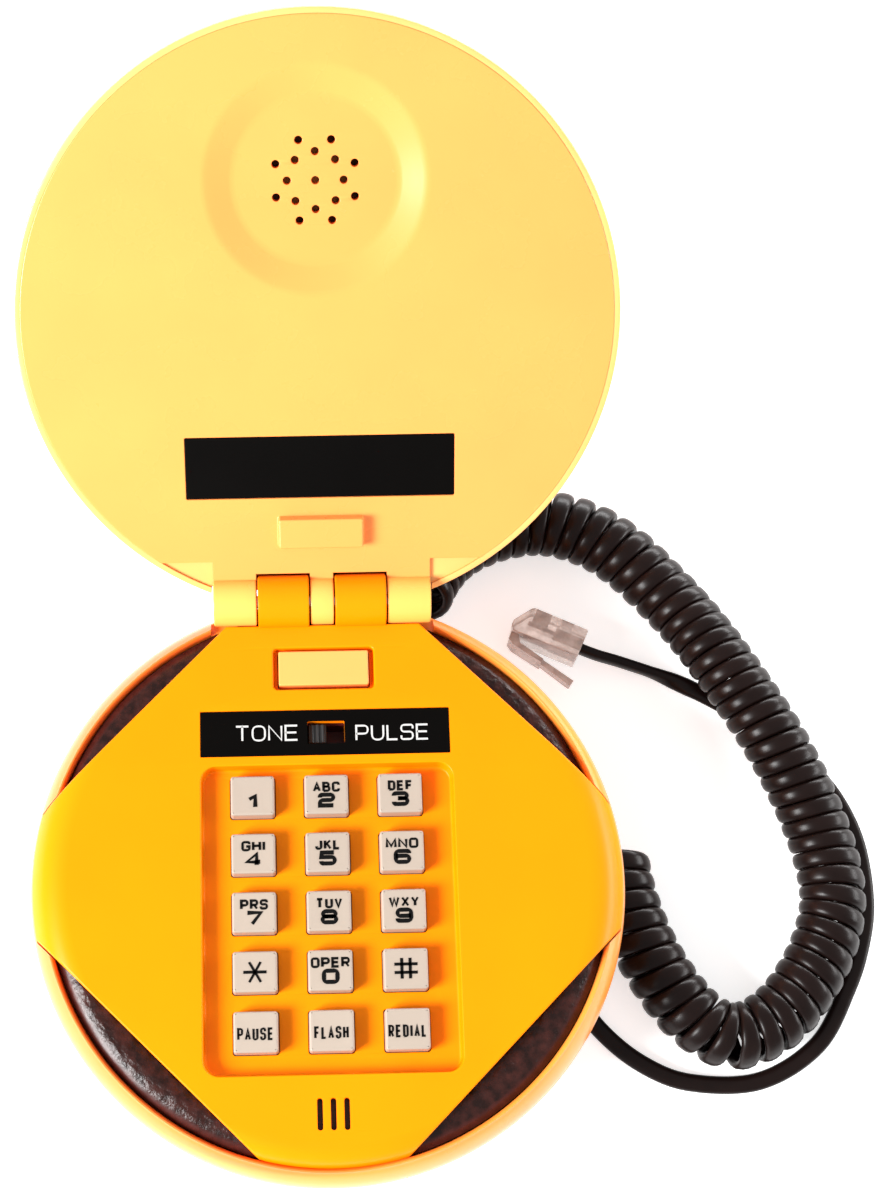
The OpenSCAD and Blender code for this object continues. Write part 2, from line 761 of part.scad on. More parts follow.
module plug_body() {
    l = plug_size[0];
    t = plug_size[1];
    w = plug_size[2];
    // Side outline: x along the plug, y across its thickness, latch on the +y side
    color("#dcd4cf", 0.5) plug_frame() difference() {
        union() {
            translate([0, 0, -w / 2]) linear_extrude(w) polygon([
                [0, -t / 2], [l - 3.3, -t / 2], [l - 2.7, -t / 2 + 0.4], [l, 1], [l, 2.2],
                [l - 0.7, t / 2], [0, t / 2]
            ]);
            translate([0, 0, -3.1]) linear_extrude(6.2) polygon([
                [l - 2.2, t / 2 - 0.4], [l - 0.4, t / 2 - 0.7], [l - 0.6, t / 2 + 1.7],
                [l - 2, t / 2 + 2.6], [6.8, t / 2 + 3.9], [6.6, t / 2 + 3], [l - 3.2, t / 2 + 1.6]
            ]);
            translate([0, 0, -1.6]) linear_extrude(3.2) polygon([
                [7.6, t / 2 + 2.9], [7.6, t / 2 + 3.7], [-0.9, t / 2 + 5.6], [-1.2, t / 2 + 4.7]
            ]);
        }
        // Wire window on the contact side and the slots for the contacts
        translate([3, -t / 2 - 1, -2.4]) cube([3.4, 2.6, 4.8]);
        for (i = [-1.5:1.5]) translate([l - 7.4, -t / 2 - 1, i * 1.02 - 0.2])
            cube([3.6, 3.4, 0.4]);
    }
}

module plug_contacts() {
    l = plug_size[0];
    t = plug_size[1];
    color("gold") plug_frame() for (i = [-1.5:1.5])
        translate([l - 7.3, -t / 2 + 0.3, i * 1.02 - 0.15]) cube([3.4, 2, 0.3]);
}

// ---------------------------------------------------------------- nodes

bottom_bun();
foot_pad();
patty();
front_panel();
switch_plate();
mode_switch();
mode_slider();
hook_button();
hook_spring();
hook_switch();
keypad_mat();
main_board();
board_screws();
microphone();
ringer();
ballast_weight();
case_screws();
hinge_pin();
bun_top();
sesame_seeds();
lid_plate();
lid_nameplate();
receiver_capsule();
receiver_clamp();
cord_grommet();
cord_lead();
coiled_cord();
line_cord();
plug_body();
plug_contacts();
for (k = KEYS)
    key(k[1], k[2]);
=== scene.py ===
from math import acos, asin, atan2, copysign, cos, degrees, hypot, pi, radians as deg, sin, sqrt

import bmesh
import bpy
from mathutils import Matrix, Vector, noise
from mathutils.geometry import tessellate_polygon


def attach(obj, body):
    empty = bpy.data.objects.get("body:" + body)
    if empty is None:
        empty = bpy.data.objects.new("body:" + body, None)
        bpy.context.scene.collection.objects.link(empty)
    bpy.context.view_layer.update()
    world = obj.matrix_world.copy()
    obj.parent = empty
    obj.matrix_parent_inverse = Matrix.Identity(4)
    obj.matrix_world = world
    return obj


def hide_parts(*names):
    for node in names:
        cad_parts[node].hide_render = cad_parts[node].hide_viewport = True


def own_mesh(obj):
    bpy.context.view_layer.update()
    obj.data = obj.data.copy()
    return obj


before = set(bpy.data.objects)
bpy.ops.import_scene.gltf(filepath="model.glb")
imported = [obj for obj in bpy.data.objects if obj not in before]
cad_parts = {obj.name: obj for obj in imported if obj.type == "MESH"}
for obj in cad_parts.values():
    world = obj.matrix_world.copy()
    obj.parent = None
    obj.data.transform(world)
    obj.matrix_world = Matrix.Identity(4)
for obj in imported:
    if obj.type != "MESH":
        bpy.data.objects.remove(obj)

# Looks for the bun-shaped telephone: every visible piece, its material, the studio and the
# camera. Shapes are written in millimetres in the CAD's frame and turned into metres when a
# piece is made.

MM = 0.001
UP = Vector((0, 0, 1))
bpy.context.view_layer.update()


def place_object(name, data):
    obj = bpy.data.objects.new(name, data)
    bpy.context.collection.objects.link(obj)
    return obj


# ------------ camera

def make_camera():
    """The photograph's viewpoint: nearly overhead, a little to the left."""
    forward = Vector((0.01059, 0.26602, -0.96391)).normalized()
    level = forward.cross(UP).normalized()
    above = level.cross(forward)
    roll = deg(1.06)
    right = level * cos(roll) + above * sin(roll)
    up = above * cos(roll) - level * sin(roll)
    data = bpy.data.cameras.new("camera")
    data.sensor_width, data.lens = 36, 65.641
    data.shift_x, data.shift_y = 0.1005, 0.0640
    data.clip_start, data.clip_end = 0.01, 20
    cam = place_object("camera", data)
    rows = Matrix((right, up, -forward)).transposed()
    cam.matrix_world = Matrix.Translation(Vector((-5.44, -78.08, 469.76)) * MM) @ rows.to_4x4()
    bpy.context.scene.camera = cam


make_camera()


# ------------ mesh tools

def shift(x, y, z):
    return Matrix.Translation((x, y, z))


def spin(angle, axis):
    """A turn in degrees about an axis through the origin."""
    return Matrix.Rotation(deg(angle), 4, axis)


HINGE = Vector((0, 57.8, 36.6))
EAR_V = 85.5
LID = shift(*HINGE) @ spin(35, "X")
BASE = Matrix.Identity(4)


def arc(cx, cy, r, a0, a1, n):
    """n steps along an arc, angles in degrees."""
    return [(cx + r * cos(deg(a0 + (a1 - a0) * i / n)), cy + r * sin(deg(a0 + (a1 - a0) * i / n)))
            for i in range(n + 1)]


def toward(a):
    """Level direction at an angle in degrees."""
    return Vector((cos(deg(a)), sin(deg(a)), 0))


def rounded(cx, cy, w, h, r, n=6):
    """A rectangle with rounded corners, counter-clockwise."""
    out = []
    for k, (sx, sy) in enumerate(((1, 1), (-1, 1), (-1, -1), (1, -1))):
        out += arc(cx + sx * (w / 2 - r), cy + sy * (h / 2 - r), r, 90 * k, 90 * k + 90, n)
    return out


def box(x0, y0, x1, y1):
    return [(x0, y0), (x1, y0), (x1, y1), (x0, y1)]


def circle(cx, cy, r, n=48):
    return [(cx + r * cos(2 * pi * i / n), cy + r * sin(2 * pi * i / n)) for i in range(n)]


def grow(points, d):
    """A counter-clockwise outline moved outwards by d."""
    out = []
    n = len(points)
    for i, (x, y) in enumerate(points):
        a, c = points[i - 1], points[(i + 1) % n]
        e1, e2 = Vector((x - a[0], y - a[1])), Vector((c[0] - x, c[1] - y))
        e1.normalize()
        e2.normalize()
        n1, n2 = Vector((e1.y, -e1.x)), Vector((e2.y, -e2.x))
        m = (n1 + n2).normalized()
        k = d / max(m.dot(n1), 0.5)
        out.append((x + m.x * k, y + m.y * k))
    return out


def quarter(r, n):
    """Steps of a quarter turn."""
    return [(r * sin(pi / 2 * i / n), r * cos(pi / 2 * i / n)) for i in range(n + 1)]


def outer_edge(r, z, n=4):
    """(offset, height) steps of a rounded outside edge, from the wall to the top face."""
    return [(c - r, z - r + s) for s, c in quarter(r, n)]


def inner_edge(r, z, n=4):
    """The rounded rim of a hole, from the top face to the wall."""
    return [(r - s, z - r + c) for s, c in quarter(r, n)]


def floor_edge(r, z, off=0.0, n=4):
    """The rounded foot of a recess's wall, from the wall to the floor."""
    return [(off - r + c, z + r - s) for s, c in quarter(r, n)]


def curve(a, corner, b, t):
    """A place on the curve from a to b that rounds off a corner."""
    return a * (1 - t) ** 2 + corner * (2 * t * (1 - t)) + b * t ** 2


class Shape:
    """Points in millimetres and faces between them."""

    def __init__(self):
        self.co, self.faces = [], []

    def ring(self, points, z=None):
        start = len(self.co)
        self.co += [tuple(p) if z is None else (p[0], p[1], z) for p in points]
        return list(range(start, len(self.co)))

    def hoop(self, r, points):
        """A ring of radius r, or its first point again and again where r is nothing."""
        return self.ring(points[:1]) * len(points) if r < 1e-6 else self.ring(points)

    def strip(self, a, b, closed=True):
        n = len(a)
        for i in range(n if closed else n - 1):
            j = (i + 1) % n
            face = []
            for v in (a[i], a[j], b[j], b[i]):
                if v not in face:
                    face.append(v)
            if len(face) > 2:
                self.faces.append(face)

    def rings(self, loops):
        for a, b in zip(loops, loops[1:]):
            self.strip(a, b)

    def rod(self, loops):
        """Rings with both ends closed."""
        self.rings(loops)
        self.faces += [loops[0][::-1], loops[-1]]

    def plane(self, outer, holes=()):
        """Fills a level outline, leaving holes."""
        loops = [outer, *holes]
        flat = [v for loop in loops for v in loop]
        tris = tessellate_polygon(
            [[Vector((self.co[v][0], self.co[v][1], 0)) for v in loop] for loop in loops])
        self.faces += [[flat[i] for i in t] for t in tris]

    def sweep(self, outline, profile):
        """Rings of the outline at each (offset, height)."""
        made = [self.ring(grow(outline, off), z) for off, z in profile]
        self.rings(made)
        return made

    def lathe(self, profile, centre_y=0):
        """An (r, z) section turned about an upright axis."""
        self.rings([self.hoop(r, [(x, y, z) for x, y in circle(0, centre_y, r, 200)])
                    for r, z in profile])

    def solid(self, outline, profile, holes=()):
        """A sweep with both ends filled, and straight holes through it."""
        made = self.sweep(outline, profile)
        cut = [self.sweep(hole, [(0, profile[0][1]), (0, profile[-1][1])]) for hole in holes]
        for end in (0, -1):
            self.plane(made[end], [hole[end] for hole in cut])
        return self

    def prism(self, outline, z0, z1):
        return self.solid(outline, [(0, z0), (0, z1)])

    def barrel(self, x0, x1, r, edge=0.25, n=48, at=BASE):
        """A round bar along X with rounded ends."""
        sections = [(x0, 0), (x0, r - edge), (x0 + edge * 0.3, r - edge * 0.3), (x0 + edge, r),
                    (x1 - edge, r), (x1 - edge * 0.3, r - edge * 0.3), (x1, r - edge), (x1, 0)]
        self.rings([self.hoop(rr, [tuple(at @ Vector((x, y, z))) for y, z in circle(0, 0, rr, n)])
                    for x, rr in sections])
        return self

    def add(self, other, matrix):
        start = len(self.co)
        self.co += [tuple(matrix @ Vector(p)) for p in other.co]
        self.faces += [[v + start for v in f] for f in other.faces]

    def mesh(self, name, matrix):
        me = bpy.data.meshes.new(name)
        me.from_pydata([tuple((matrix @ Vector(p)) * MM) for p in self.co], [], self.faces)
        bm = bmesh.new()
        bm.from_mesh(me)
        bmesh.ops.remove_doubles(bm, verts=bm.verts, dist=1e-7)
        bmesh.ops.recalc_face_normals(bm, faces=bm.faces)
        bm.to_mesh(me)
        bm.free()
        return me


def make(name, shape, material, body, replaces=(), matrix=BASE, sharp=32, cuts=()):
    """A finished piece: its mesh, cut by other shapes, with even shading, on its body."""
    obj = place_object(name, shape.mesh(name, matrix))
    for i, cutter in enumerate(cuts):
        tool = place_object(f"{name}_tool{i}", cutter.mesh(f"{name}_tool{i}", matrix))
        mod = obj.modifiers.new("cut", "BOOLEAN")
        mod.object, mod.operation, mod.solver = tool, "DIFFERENCE", "EXACT"
        new = bpy.data.meshes.new_from_object(
            obj.evaluated_get(bpy.context.evaluated_depsgraph_get()))
        obj.modifiers.clear()
        obj.data = new
        bpy.data.objects.remove(tool)
    obj.data.materials.clear()
    obj.data.materials.append(material)
    obj.data.shade_smooth()
    obj.data.set_sharp_from_angle(angle=deg(sharp))
    even = obj.modifiers.new("even shading", "WEIGHTED_NORMAL")
    even.mode, even.weight, even.keep_sharp = "FACE_AREA_WITH_ANGLE", 60, True
    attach(obj, body)
    if replaces:
        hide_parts(*replaces)
    return obj


# ------------ materials

def put(node, **values):
    """Sets a node's inputs, with _ for each space in their names."""
    for name, value in values.items():
        node.inputs[name.replace("_", " ")].default_value = value
    return node


class Look:
    """A material: its Principled shader and what feeds it. Places are in metres."""

    def __init__(self, name):
        self.mat = bpy.data.materials.new(name)
        self.mat.use_nodes = True
        self.bsdf = self.mat.node_tree.nodes["Principled BSDF"]
        self.place = self.node("TexCoord").outputs["Object"]

    def node(self, kind, **values):
        return put(self.mat.node_tree.nodes.new("ShaderNode" + kind), **values)

    def link(self, source, socket):
        self.mat.node_tree.links.new(source, socket)

    def base(self, colour):
        self.link(colour, self.bsdf.inputs["Base Color"])

    def noise(self, scale, detail=4):
        cloud = self.node("TexNoise", Scale=scale, Detail=detail)
        self.link(self.place, cloud.inputs["Vector"])
        return cloud.outputs["Fac"]

    def ramp(self, value, tones):
        """Tones are (place, colour). The first two move the ramp's own marks."""
        ramp = self.node("ValToRGB")
        marks = ramp.color_ramp.elements
        for k, (at, colour) in enumerate(tones):
            mark = marks[k] if k < 2 else marks.new(at)
            mark.position, mark.color = at, (*colour, 1)
        self.link(value, ramp.inputs["Fac"])
        return ramp.outputs["Color"]

    def mottled(self, dark, light, scale, detail=3):
        """A colour that wanders between two tones."""
        return self.ramp(self.noise(scale, detail), ((0.35, dark), (0.65, light)))

    def span(self, value, **ends):
        span = self.node("MapRange", **ends)
        self.link(value, span.inputs["Value"])
        return span.outputs["Result"]

    def vector(self, operation, source, by=None):
        step = self.node("VectorMath")
        step.operation = operation
        if by is not None:
            step.inputs[1].default_value = by
        self.link(source, step.inputs[0])
        return step.outputs["Vector" if operation == "MULTIPLY" else "Value"]

    def mix(self, first, second, blend="MIX"):
        """Base colour mixed from two. Returns the factor's socket."""
        both = self.node("Mix")
        both.data_type, both.blend_type = "RGBA", blend
        self.link(first, both.inputs[6])
        self.link(second, both.inputs[7])
        self.base(both.outputs[2])
        return both.inputs["Factor"]

    def rough(self, scale, low, high):
        """Gloss that changes from place to place."""
        self.link(self.span(self.noise(scale), To_Min=low, To_Max=high),
                  self.bsdf.inputs["Roughness"])

    def relief(self, heights, height):
        """Fine relief, height in metres. Returns the strength's socket."""
        bump = self.node("Bump", Distance=height, Strength=1)
        self.link(heights, bump.inputs["Height"])
        self.link(bump.outputs["Normal"], self.bsdf.inputs["Normal"])
        return bump.inputs["Strength"]


def two_tone(name, dark, light, patches, gloss, rough, grain, height, **values):
    """Almost even colour with a change of gloss and fine grain."""
    look = Look(name)
    look.base(look.mottled(dark, light, patches))
    look.rough(gloss, *rough)
    look.relief(look.noise(grain), height)
    put(look.bsdf, **values)
    return look.mat


def plastic(name, colour, rough, tone=0.96, grain=1400, height=3e-6, spec=0.45):
    return two_tone(name, [c * tone for c in colour], colour, 45, 70, rough, grain, height,
                    Specular_IOR_Level=spec)


def vinyl(name, colour, rough, spec=0.5):
    return two_tone(name, [c * 0.7 for c in colour], colour, 160, 300, rough, 2200, 4e-6,
                    Specular_IOR_Level=spec)


def metal(name, colour, rough):
    return two_tone(name, [c * 0.85 for c in colour], colour, 400, 900, rough, 1800, 5e-6,
                    Metallic=1)


YELLOW = plastic("panel_yellow", (0.96, 0.236, 0.0003), (0.27, 0.34), spec=0.1)
LID_CREAM = plastic("lid_pale_yellow", (0.96, 0.32, 0.072), (0.24, 0.3))
# Painted light: the lid's knuckles are the lid's plastic, painted paler to stand in for the
# brighter light they catch.
KNUCKLE_PAINTED_LIGHT_CREAM = plastic("knuckle_painted_light_yellow", (0.96, 0.45, 0.092), (0.24, 0.3))
HOOK_CREAM = plastic("hook_cream", (0.96, 0.37, 0.093), (0.26, 0.33))
KEY_IVORY = plastic("key_ivory", (0.36, 0.297, 0.244), (0.42, 0.5), grain=2600,
                    height=6e-6, spec=0.35)
BLACK_PLATE = plastic("black_plate", (0.0012, 0.0009, 0.0007), (0.5, 0.6), tone=0.7, spec=0.04)
BLACK_INK = plastic("black_ink", (0.002, 0.002, 0.002), (0.5, 0.6), tone=0.8, spec=0.1)
WHITE_INK = plastic("white_ink", (0.5, 0.5, 0.49), (0.5, 0.6))
SEED = plastic("seed_cream", (0.46, 0.34, 0.17), (0.4, 0.55), tone=0.82, grain=900, height=3e-5)
SLIDER = plastic("slider_grey", (0.017, 0.016, 0.016), (0.4, 0.5), tone=0.7)


def bun_skin(name, axis, reach, tones):
    """Baked look, with any painted shade that the given tones hold: the tone follows a place along
    an axis, with a soft and uneven skin.

    reach is the pair of places, in metres, between which the tones are spread."""
    look = Look(name)
    along = look.span(look.vector("DOT_PRODUCT", look.place, axis),
                      From_Min=reach[0], From_Max=reach[1])
    crust = look.mottled((0.93, 0.88, 0.86), (1, 1, 1), 38, 5)
    factor = look.mix(look.ramp(along, tones), crust, "MULTIPLY")
    factor.default_value = 1
    look.rough(60, 0.24, 0.34)
    look.relief(look.noise(320), 4e-5)
    put(look.bsdf, Coat_Weight=0.12, Coat_Roughness=0.12)
    return look.mat


def patty_skin():
    """Dark maroon: a smooth glossy bead outside, a pitted darker face inside it."""
    look = Look("patty_brown")
    grain = look.noise(500)
    bead = look.ramp(grain, ((0.35, (0.036, 0.0070, 0.0052)), (0.7, (0.056, 0.0115, 0.0088))))
    pits = look.ramp(grain, ((0.35, (0.010, 0.0026, 0.0018)), (0.7, (0.038, 0.0095, 0.0070))))
    radius = look.vector("LENGTH", look.vector("MULTIPLY", look.place, (1, 1, 0)))
    inside = look.span(radius, From_Min=0.0556, From_Max=0.0549)
    look.link(inside, look.mix(bead, pits))
    look.rough(900, 0.19, 0.38)
    look.link(inside, look.relief(look.noise(1500), 1.3e-4))
    put(look.bsdf, Specular_IOR_Level=0.24)
    return look.mat


def board_green():
    """Circuit board: green lacquer over darker tracks."""
    look = Look("board_green")
    brick = look.node("TexBrick", Scale=160, Color1=(0.03, 0.16, 0.05, 1),
                      Color2=(0.04, 0.2, 0.06, 1), Mortar=(0.015, 0.09, 0.03, 1),
                      Mortar_Size=0.03)
    look.link(look.place, brick.inputs["Vector"])
    look.base(brick.outputs["Color"])
    look.rough(300, 0.3, 0.45)
    look.relief(look.noise(900), 1e-5)
    return look.mat


def capsule_cloth():
    """Receiver front: an olive-brown cloth disc in the middle of a near-black face."""
    look = Look("capsule_cloth")
    away = look.vector("DISTANCE", look.place, LID @ Vector((0, EAR_V, -4.6)) * MM)
    look.base(look.ramp(away, ((0.0066, (0.30, 0.26, 0.08)), (0.0072, (0.022, 0.013, 0.006)))))
    cells = look.node("TexVoronoi", Scale=2500)
    look.link(look.place, cells.inputs["Vector"])
    look.relief(cells.outputs["Distance"], 4e-5)
    put(look.bsdf, Roughness=0.8)
    return look.mat


CREAM_EDGE, BAKED = (0.95, 0.47, 0.14), (0.36, 0.10, 0.019)
# Lower bun: the baked tone low down is the bun's own colour. Painted shade: the tones turn a deeper
# orange towards the lip's top and inner edge, and the axis leans so that the left side, under the
# left lamp, is painted darker.
LOWER_BUN = bun_skin("lower_bun_baked_and_painted_shade", (-0.06, 0, 1), (0.010, 0.0332),
                     ((0, BAKED), (1, (0.95, 0.195, 0.025)), (0.45, (0.52, 0.15, 0.028)),
                      (0.84, (0.95, 0.31, 0.045)), (0.965, (0.95, 0.262, 0.031))))
LID_UP = LID.to_3x3() @ UP
LID_FACE = LID_UP.dot(HINGE) * MM
UPPER_BUN = bun_skin("upper_bun_baked", LID_UP, (LID_FACE - 0.016, LID_FACE),
                     ((0, BAKED), (1, CREAM_EDGE), (0.5, (0.55, 0.165, 0.032)),
                      (0.87, (0.94, 0.38, 0.08))))
PATTY = patty_skin()
CORD = vinyl("cord_vinyl", (0.0085, 0.0040, 0.0034), (0.26, 0.36), 0.14)
GROMMET = vinyl("grommet_rubber", (0.008, 0.005, 0.0045), (0.45, 0.6), 0.2)
FOOT = vinyl("foot_rubber", (0.03, 0.03, 0.031), (0.7, 0.85))
MAT_GREY = vinyl("mat_silicone", (0.24, 0.245, 0.25), (0.5, 0.65))
STEEL = metal("steel_plated", (0.62, 0.62, 0.64), (0.22, 0.38))
CAN = metal("can_aluminium", (0.72, 0.72, 0.73), (0.3, 0.45))
GOLD = metal("contact_gold", (0.86, 0.62, 0.22), (0.15, 0.25))
CLEAR = two_tone("clear_polycarbonate", (0.5, 0.4, 0.36), (0.68, 0.57, 0.52), 500, 700,
                 (0.08, 0.2), 600, 1.5e-5, Transmission_Weight=0.5, IOR=1.45, Coat_Weight=0.3)
BOARD = board_green()
CAPSULE = capsule_cloth()
WIRE = plastic("wire_sleeve", (0.42, 0.33, 0.28), (0.35, 0.5), tone=0.5)
SWITCH_RED = plastic("switch_red", (0.12, 0.006, 0.004), (0.4, 0.5), tone=0.6)
BLACK_PART = plastic("black_part", (0.012, 0.012, 0.013), (0.45, 0.6), tone=0.7)


# ------------ cord

CORD_W, CORD_T, TURN_W = 3.8, 2.4, 4.3
COIL_R, COIL_STEP = 5.85, 0.17
# Distance along the coil and the pitch of its turns there
COIL_PITCH = ((0, 4.0), (38, 4.15), (50, 4.35), (68, 4.35), (80, 3.7), (92, 3.55), (105, 3.8),
              (128, 3.8), (142, 4.0), (170, 4.2), (190, 4.25), (205, 4.4), (260, 4.45))
EXIT_ANGLE, EXIT_Z, EXIT_TIP = 72, 12.5, 64.6
COIL_PATH = [
    (21.1, 64.9, 11.6), (22.9, 69.2, 9.9), (25.6, 73.9, 8.4), (29.6, 78.1, 7.7), (35, 81.2, 7.6),
    (42, 83.4, 7.6), (50.5, 84, 7.6), (59.6, 81.4, 7.5), (67.5, 76.2, 7.4), (75, 68.4, 7.3),
    (81.5, 59.8, 8.5), (87.2, 50.5, 9.9), (92.5, 41.5, 10.1), (97.5, 32.5, 9.9), (102.5, 22, 8.5),
    (106.5, 10.5, 7.2), (108, -1, 7.2), (105.5, -11, 7.2), (100, -20.5, 7.2), (93, -27.5, 7.2),
    (84.5, -30.5, 7.2), (77, -26.5, 7.2), (70.5, -18, 7.2), (65.8, -8, 7.2), (63, 2, 7.2),
    (62, 10.5, 7.2)]
# The flat end lies on the table, then turns on its edge and rises into the plug
LINE_PATH = [(x, y, 1.4) for x, y in (
    (58.6, 9), (55, 8.4), (52.2, 6), (50.6, 2), (49.7, -3.5), (50, -11), (52, -19.5), (57.5, -28),
    (65.8, -35.2), (75.9, -39.4), (90.7, -39.4), (103.6, -32), (111, -20), (114.6, -11),
    (116.4, -2), (115.9, 9), (113.5, 17.5), (108.9, 25.5), (101.5, 33))] + [
    (93.8, 39.3, 1.45), (85.3, 44.6, 2.0), (75.2, 49.6, 2.2), (66.5, 52.6, 3.2), (61, 54, 4.5),
    (57.4, 55.4, 4.825)]


def spline(points, steps):
    """The curve part.scad follows through its route points."""
    p = [Vector(q) for q in points]
    n = len(p) - 1
    out = []
    for i in range(n):
        a, b, c, d = p[max(i - 1, 0)], p[i], p[i + 1], p[min(i + 2, n)]
        for s in range(steps):
            t = s / steps
            out.append(0.5 * (2 * b + (c - a) * t + (2 * a - 5 * b + 4 * c - d) * t * t
                              + (3 * b - a - 3 * c + d) * t ** 3))
    return out + [p[n]]


def even(points, step):
    """The same line with points about step apart."""
    far = [0.0]
    for a, b in zip(points, points[1:]):
        far.append(far[-1] + (b - a).length)
    n = max(2, round(far[-1] / step))
    out, k = [], 0
    for i in range(n + 1):
        s = far[-1] * i / n
        while k < len(far) - 2 and far[k + 1] < s:
            k += 1
        t = (s - far[k]) / max(far[k + 1] - far[k], 1e-9)
        out.append(points[k].lerp(points[k + 1], t))
    return out


def heading(points, i):
    """Direction of a line at its point i."""
    return (points[min(i + 1, len(points) - 1)] - points[max(i - 1, 0)]).normalized()


def across(points, i):
    """Sideways and upward directions across a line at its point i."""
    along = heading(points, i)
    side = along.cross(UP).normalized()
    return side, side.cross(along)


def smoothstep(t):
    t = min(max(t, 0.0), 1.0)
    return t * t * (3 - 2 * t)


def between(table, at):
    """Straight-line reading of a table of (place, value)."""
    for (x0, y0), (x1, y1) in zip(table, table[1:]):
        if at <= x1:
            return y0 + (y1 - y0) * max(at - x0, 0) / (x1 - x0)
    return table[-1][1]


def helix_line():
    """The strand's middle line round the coil, with the outward direction at each point."""
    run_off, ease = 1.75, 4.0
    line = even(spline(COIL_PATH, 12), COIL_STEP)
    step = (line[1] - line[0]).length
    stop = len(line) - 1 - round(run_off / step)
    turn, angle = [0.0], 0.0
    for i in range(1, stop + 1):
        angle += 2 * pi / between(COIL_PITCH, i * step) * step * smoothstep(0.3 + i * step / ease)
        turn.append(angle)
    points, outward = [], []
    for i in range(stop + 1):
        side, up = across(line, i)
        # The last turn ends at the bottom of the coil, so the strand runs off flat
        a = turn[i] - turn[-1] - pi / 2
        out = side * cos(a) + up * sin(a)
        # The coil is a little wider near the exit
        wide = COIL_R + 0.35 * (1 - smoothstep((i * step - 45) / 30))
        points.append(line[i] + out * (wide * smoothstep(i * step / 2.4)))
        outward.append(out)
    return points, outward


def cord_rings():
    """Middle line, thickness direction and half width of the whole cord."""
    exit_point = Vector((EXIT_TIP * cos(deg(EXIT_ANGLE)), EXIT_TIP * sin(deg(EXIT_ANGLE)), EXIT_Z))
    coil, outward = helix_line()
    lead = even([exit_point, exit_point.lerp(coil[0], 0.5), coil[0]], 0.6)[:-1]
    tail = even(spline([tuple(coil[-1])] + LINE_PATH, 10), 0.9)[1:]
    inside = (tail[-1] - tail[-2]).normalized()
    tail += [tail[-1] + inside * d for d in (0.5, 1.0)]
    points = lead + coil + tail
    thick = [outward[0]] * len(lead) + outward + [None] * len(tail)
    half = [CORD_W / 2] * len(points)
    first = len(lead)
    for i in range(len(coil)):
        # Neighbouring turns touch, but don't run into each other
        turn = round(between(COIL_PITCH, COIL_STEP * i) / COIL_STEP)
        gaps = [(coil[j] - coil[i]).length for j in (i - turn, i + turn) if 0 <= j < len(coil)]
        if gaps:
            half[first + i] = min(TURN_W / 2, max(0.5 * 0.985 * min(gaps), 1.0))
    # Easing the width along the strand keeps it even
    for _ in range(3):
        half = [(half[max(i - 1, 0)] + half[i] + half[min(i + 1, len(half) - 1)]) / 3
                for i in range(len(half))]
    for k in range(len(tail)):
        i = len(points) - len(tail) + k
        side, up = across(points, i)
        twist = pi / 2 * smoothstep((k / len(tail) - 0.86) / 0.06)
        thick[i] = side * sin(twist) - up * cos(twist)
        half[i] = CORD_W / 2
    return points, thick, half


def make_cord():
    points, thick, half = cord_rings()
    sides = 14
    shape = Shape()
    loops = []
    for i, p in enumerate(points):
        along = heading(points, i)
        t = (thick[i] - along * thick[i].dot(along)).normalized()
        w = along.cross(t)
        loop = []
        for k in range(sides):
            a = 2 * pi * k / sides
            x = copysign(abs(cos(a)) ** 0.8, cos(a)) * half[i]
            y = copysign(abs(sin(a)) ** 0.9, sin(a)) * CORD_T / 2
            loop.append(p + w * x + t * y)
        loops.append(shape.ring(loop))
    shape.rod(loops)
    cord = make("cord", shape, CORD, "base",
                ("cord_lead", "coiled_cord", "line_cord"), sharp=60)
    length = sum((b - a).length for a, b in zip(points, points[1:])) * MM
    return cord, points, length


CORD_PIECE, CORD_LINE, CORD_LENGTH = make_cord()

PLUG_AT = shift(*LINE_PATH[-1]) @ spin(155, "Z")
PINS = [1.02 * i for i in (-1.5, -0.5, 0.5, 1.5)]


def bar_of(shape, outline, half, soft):
    """An outline drawn out to both sides, with softened edges."""
    shape.solid(outline, [(-soft, -half), (-0.3 * soft, 0.3 * soft - half), (0, soft - half),
                          (0, half - soft), (-0.3 * soft, half - 0.3 * soft), (-soft, half)])


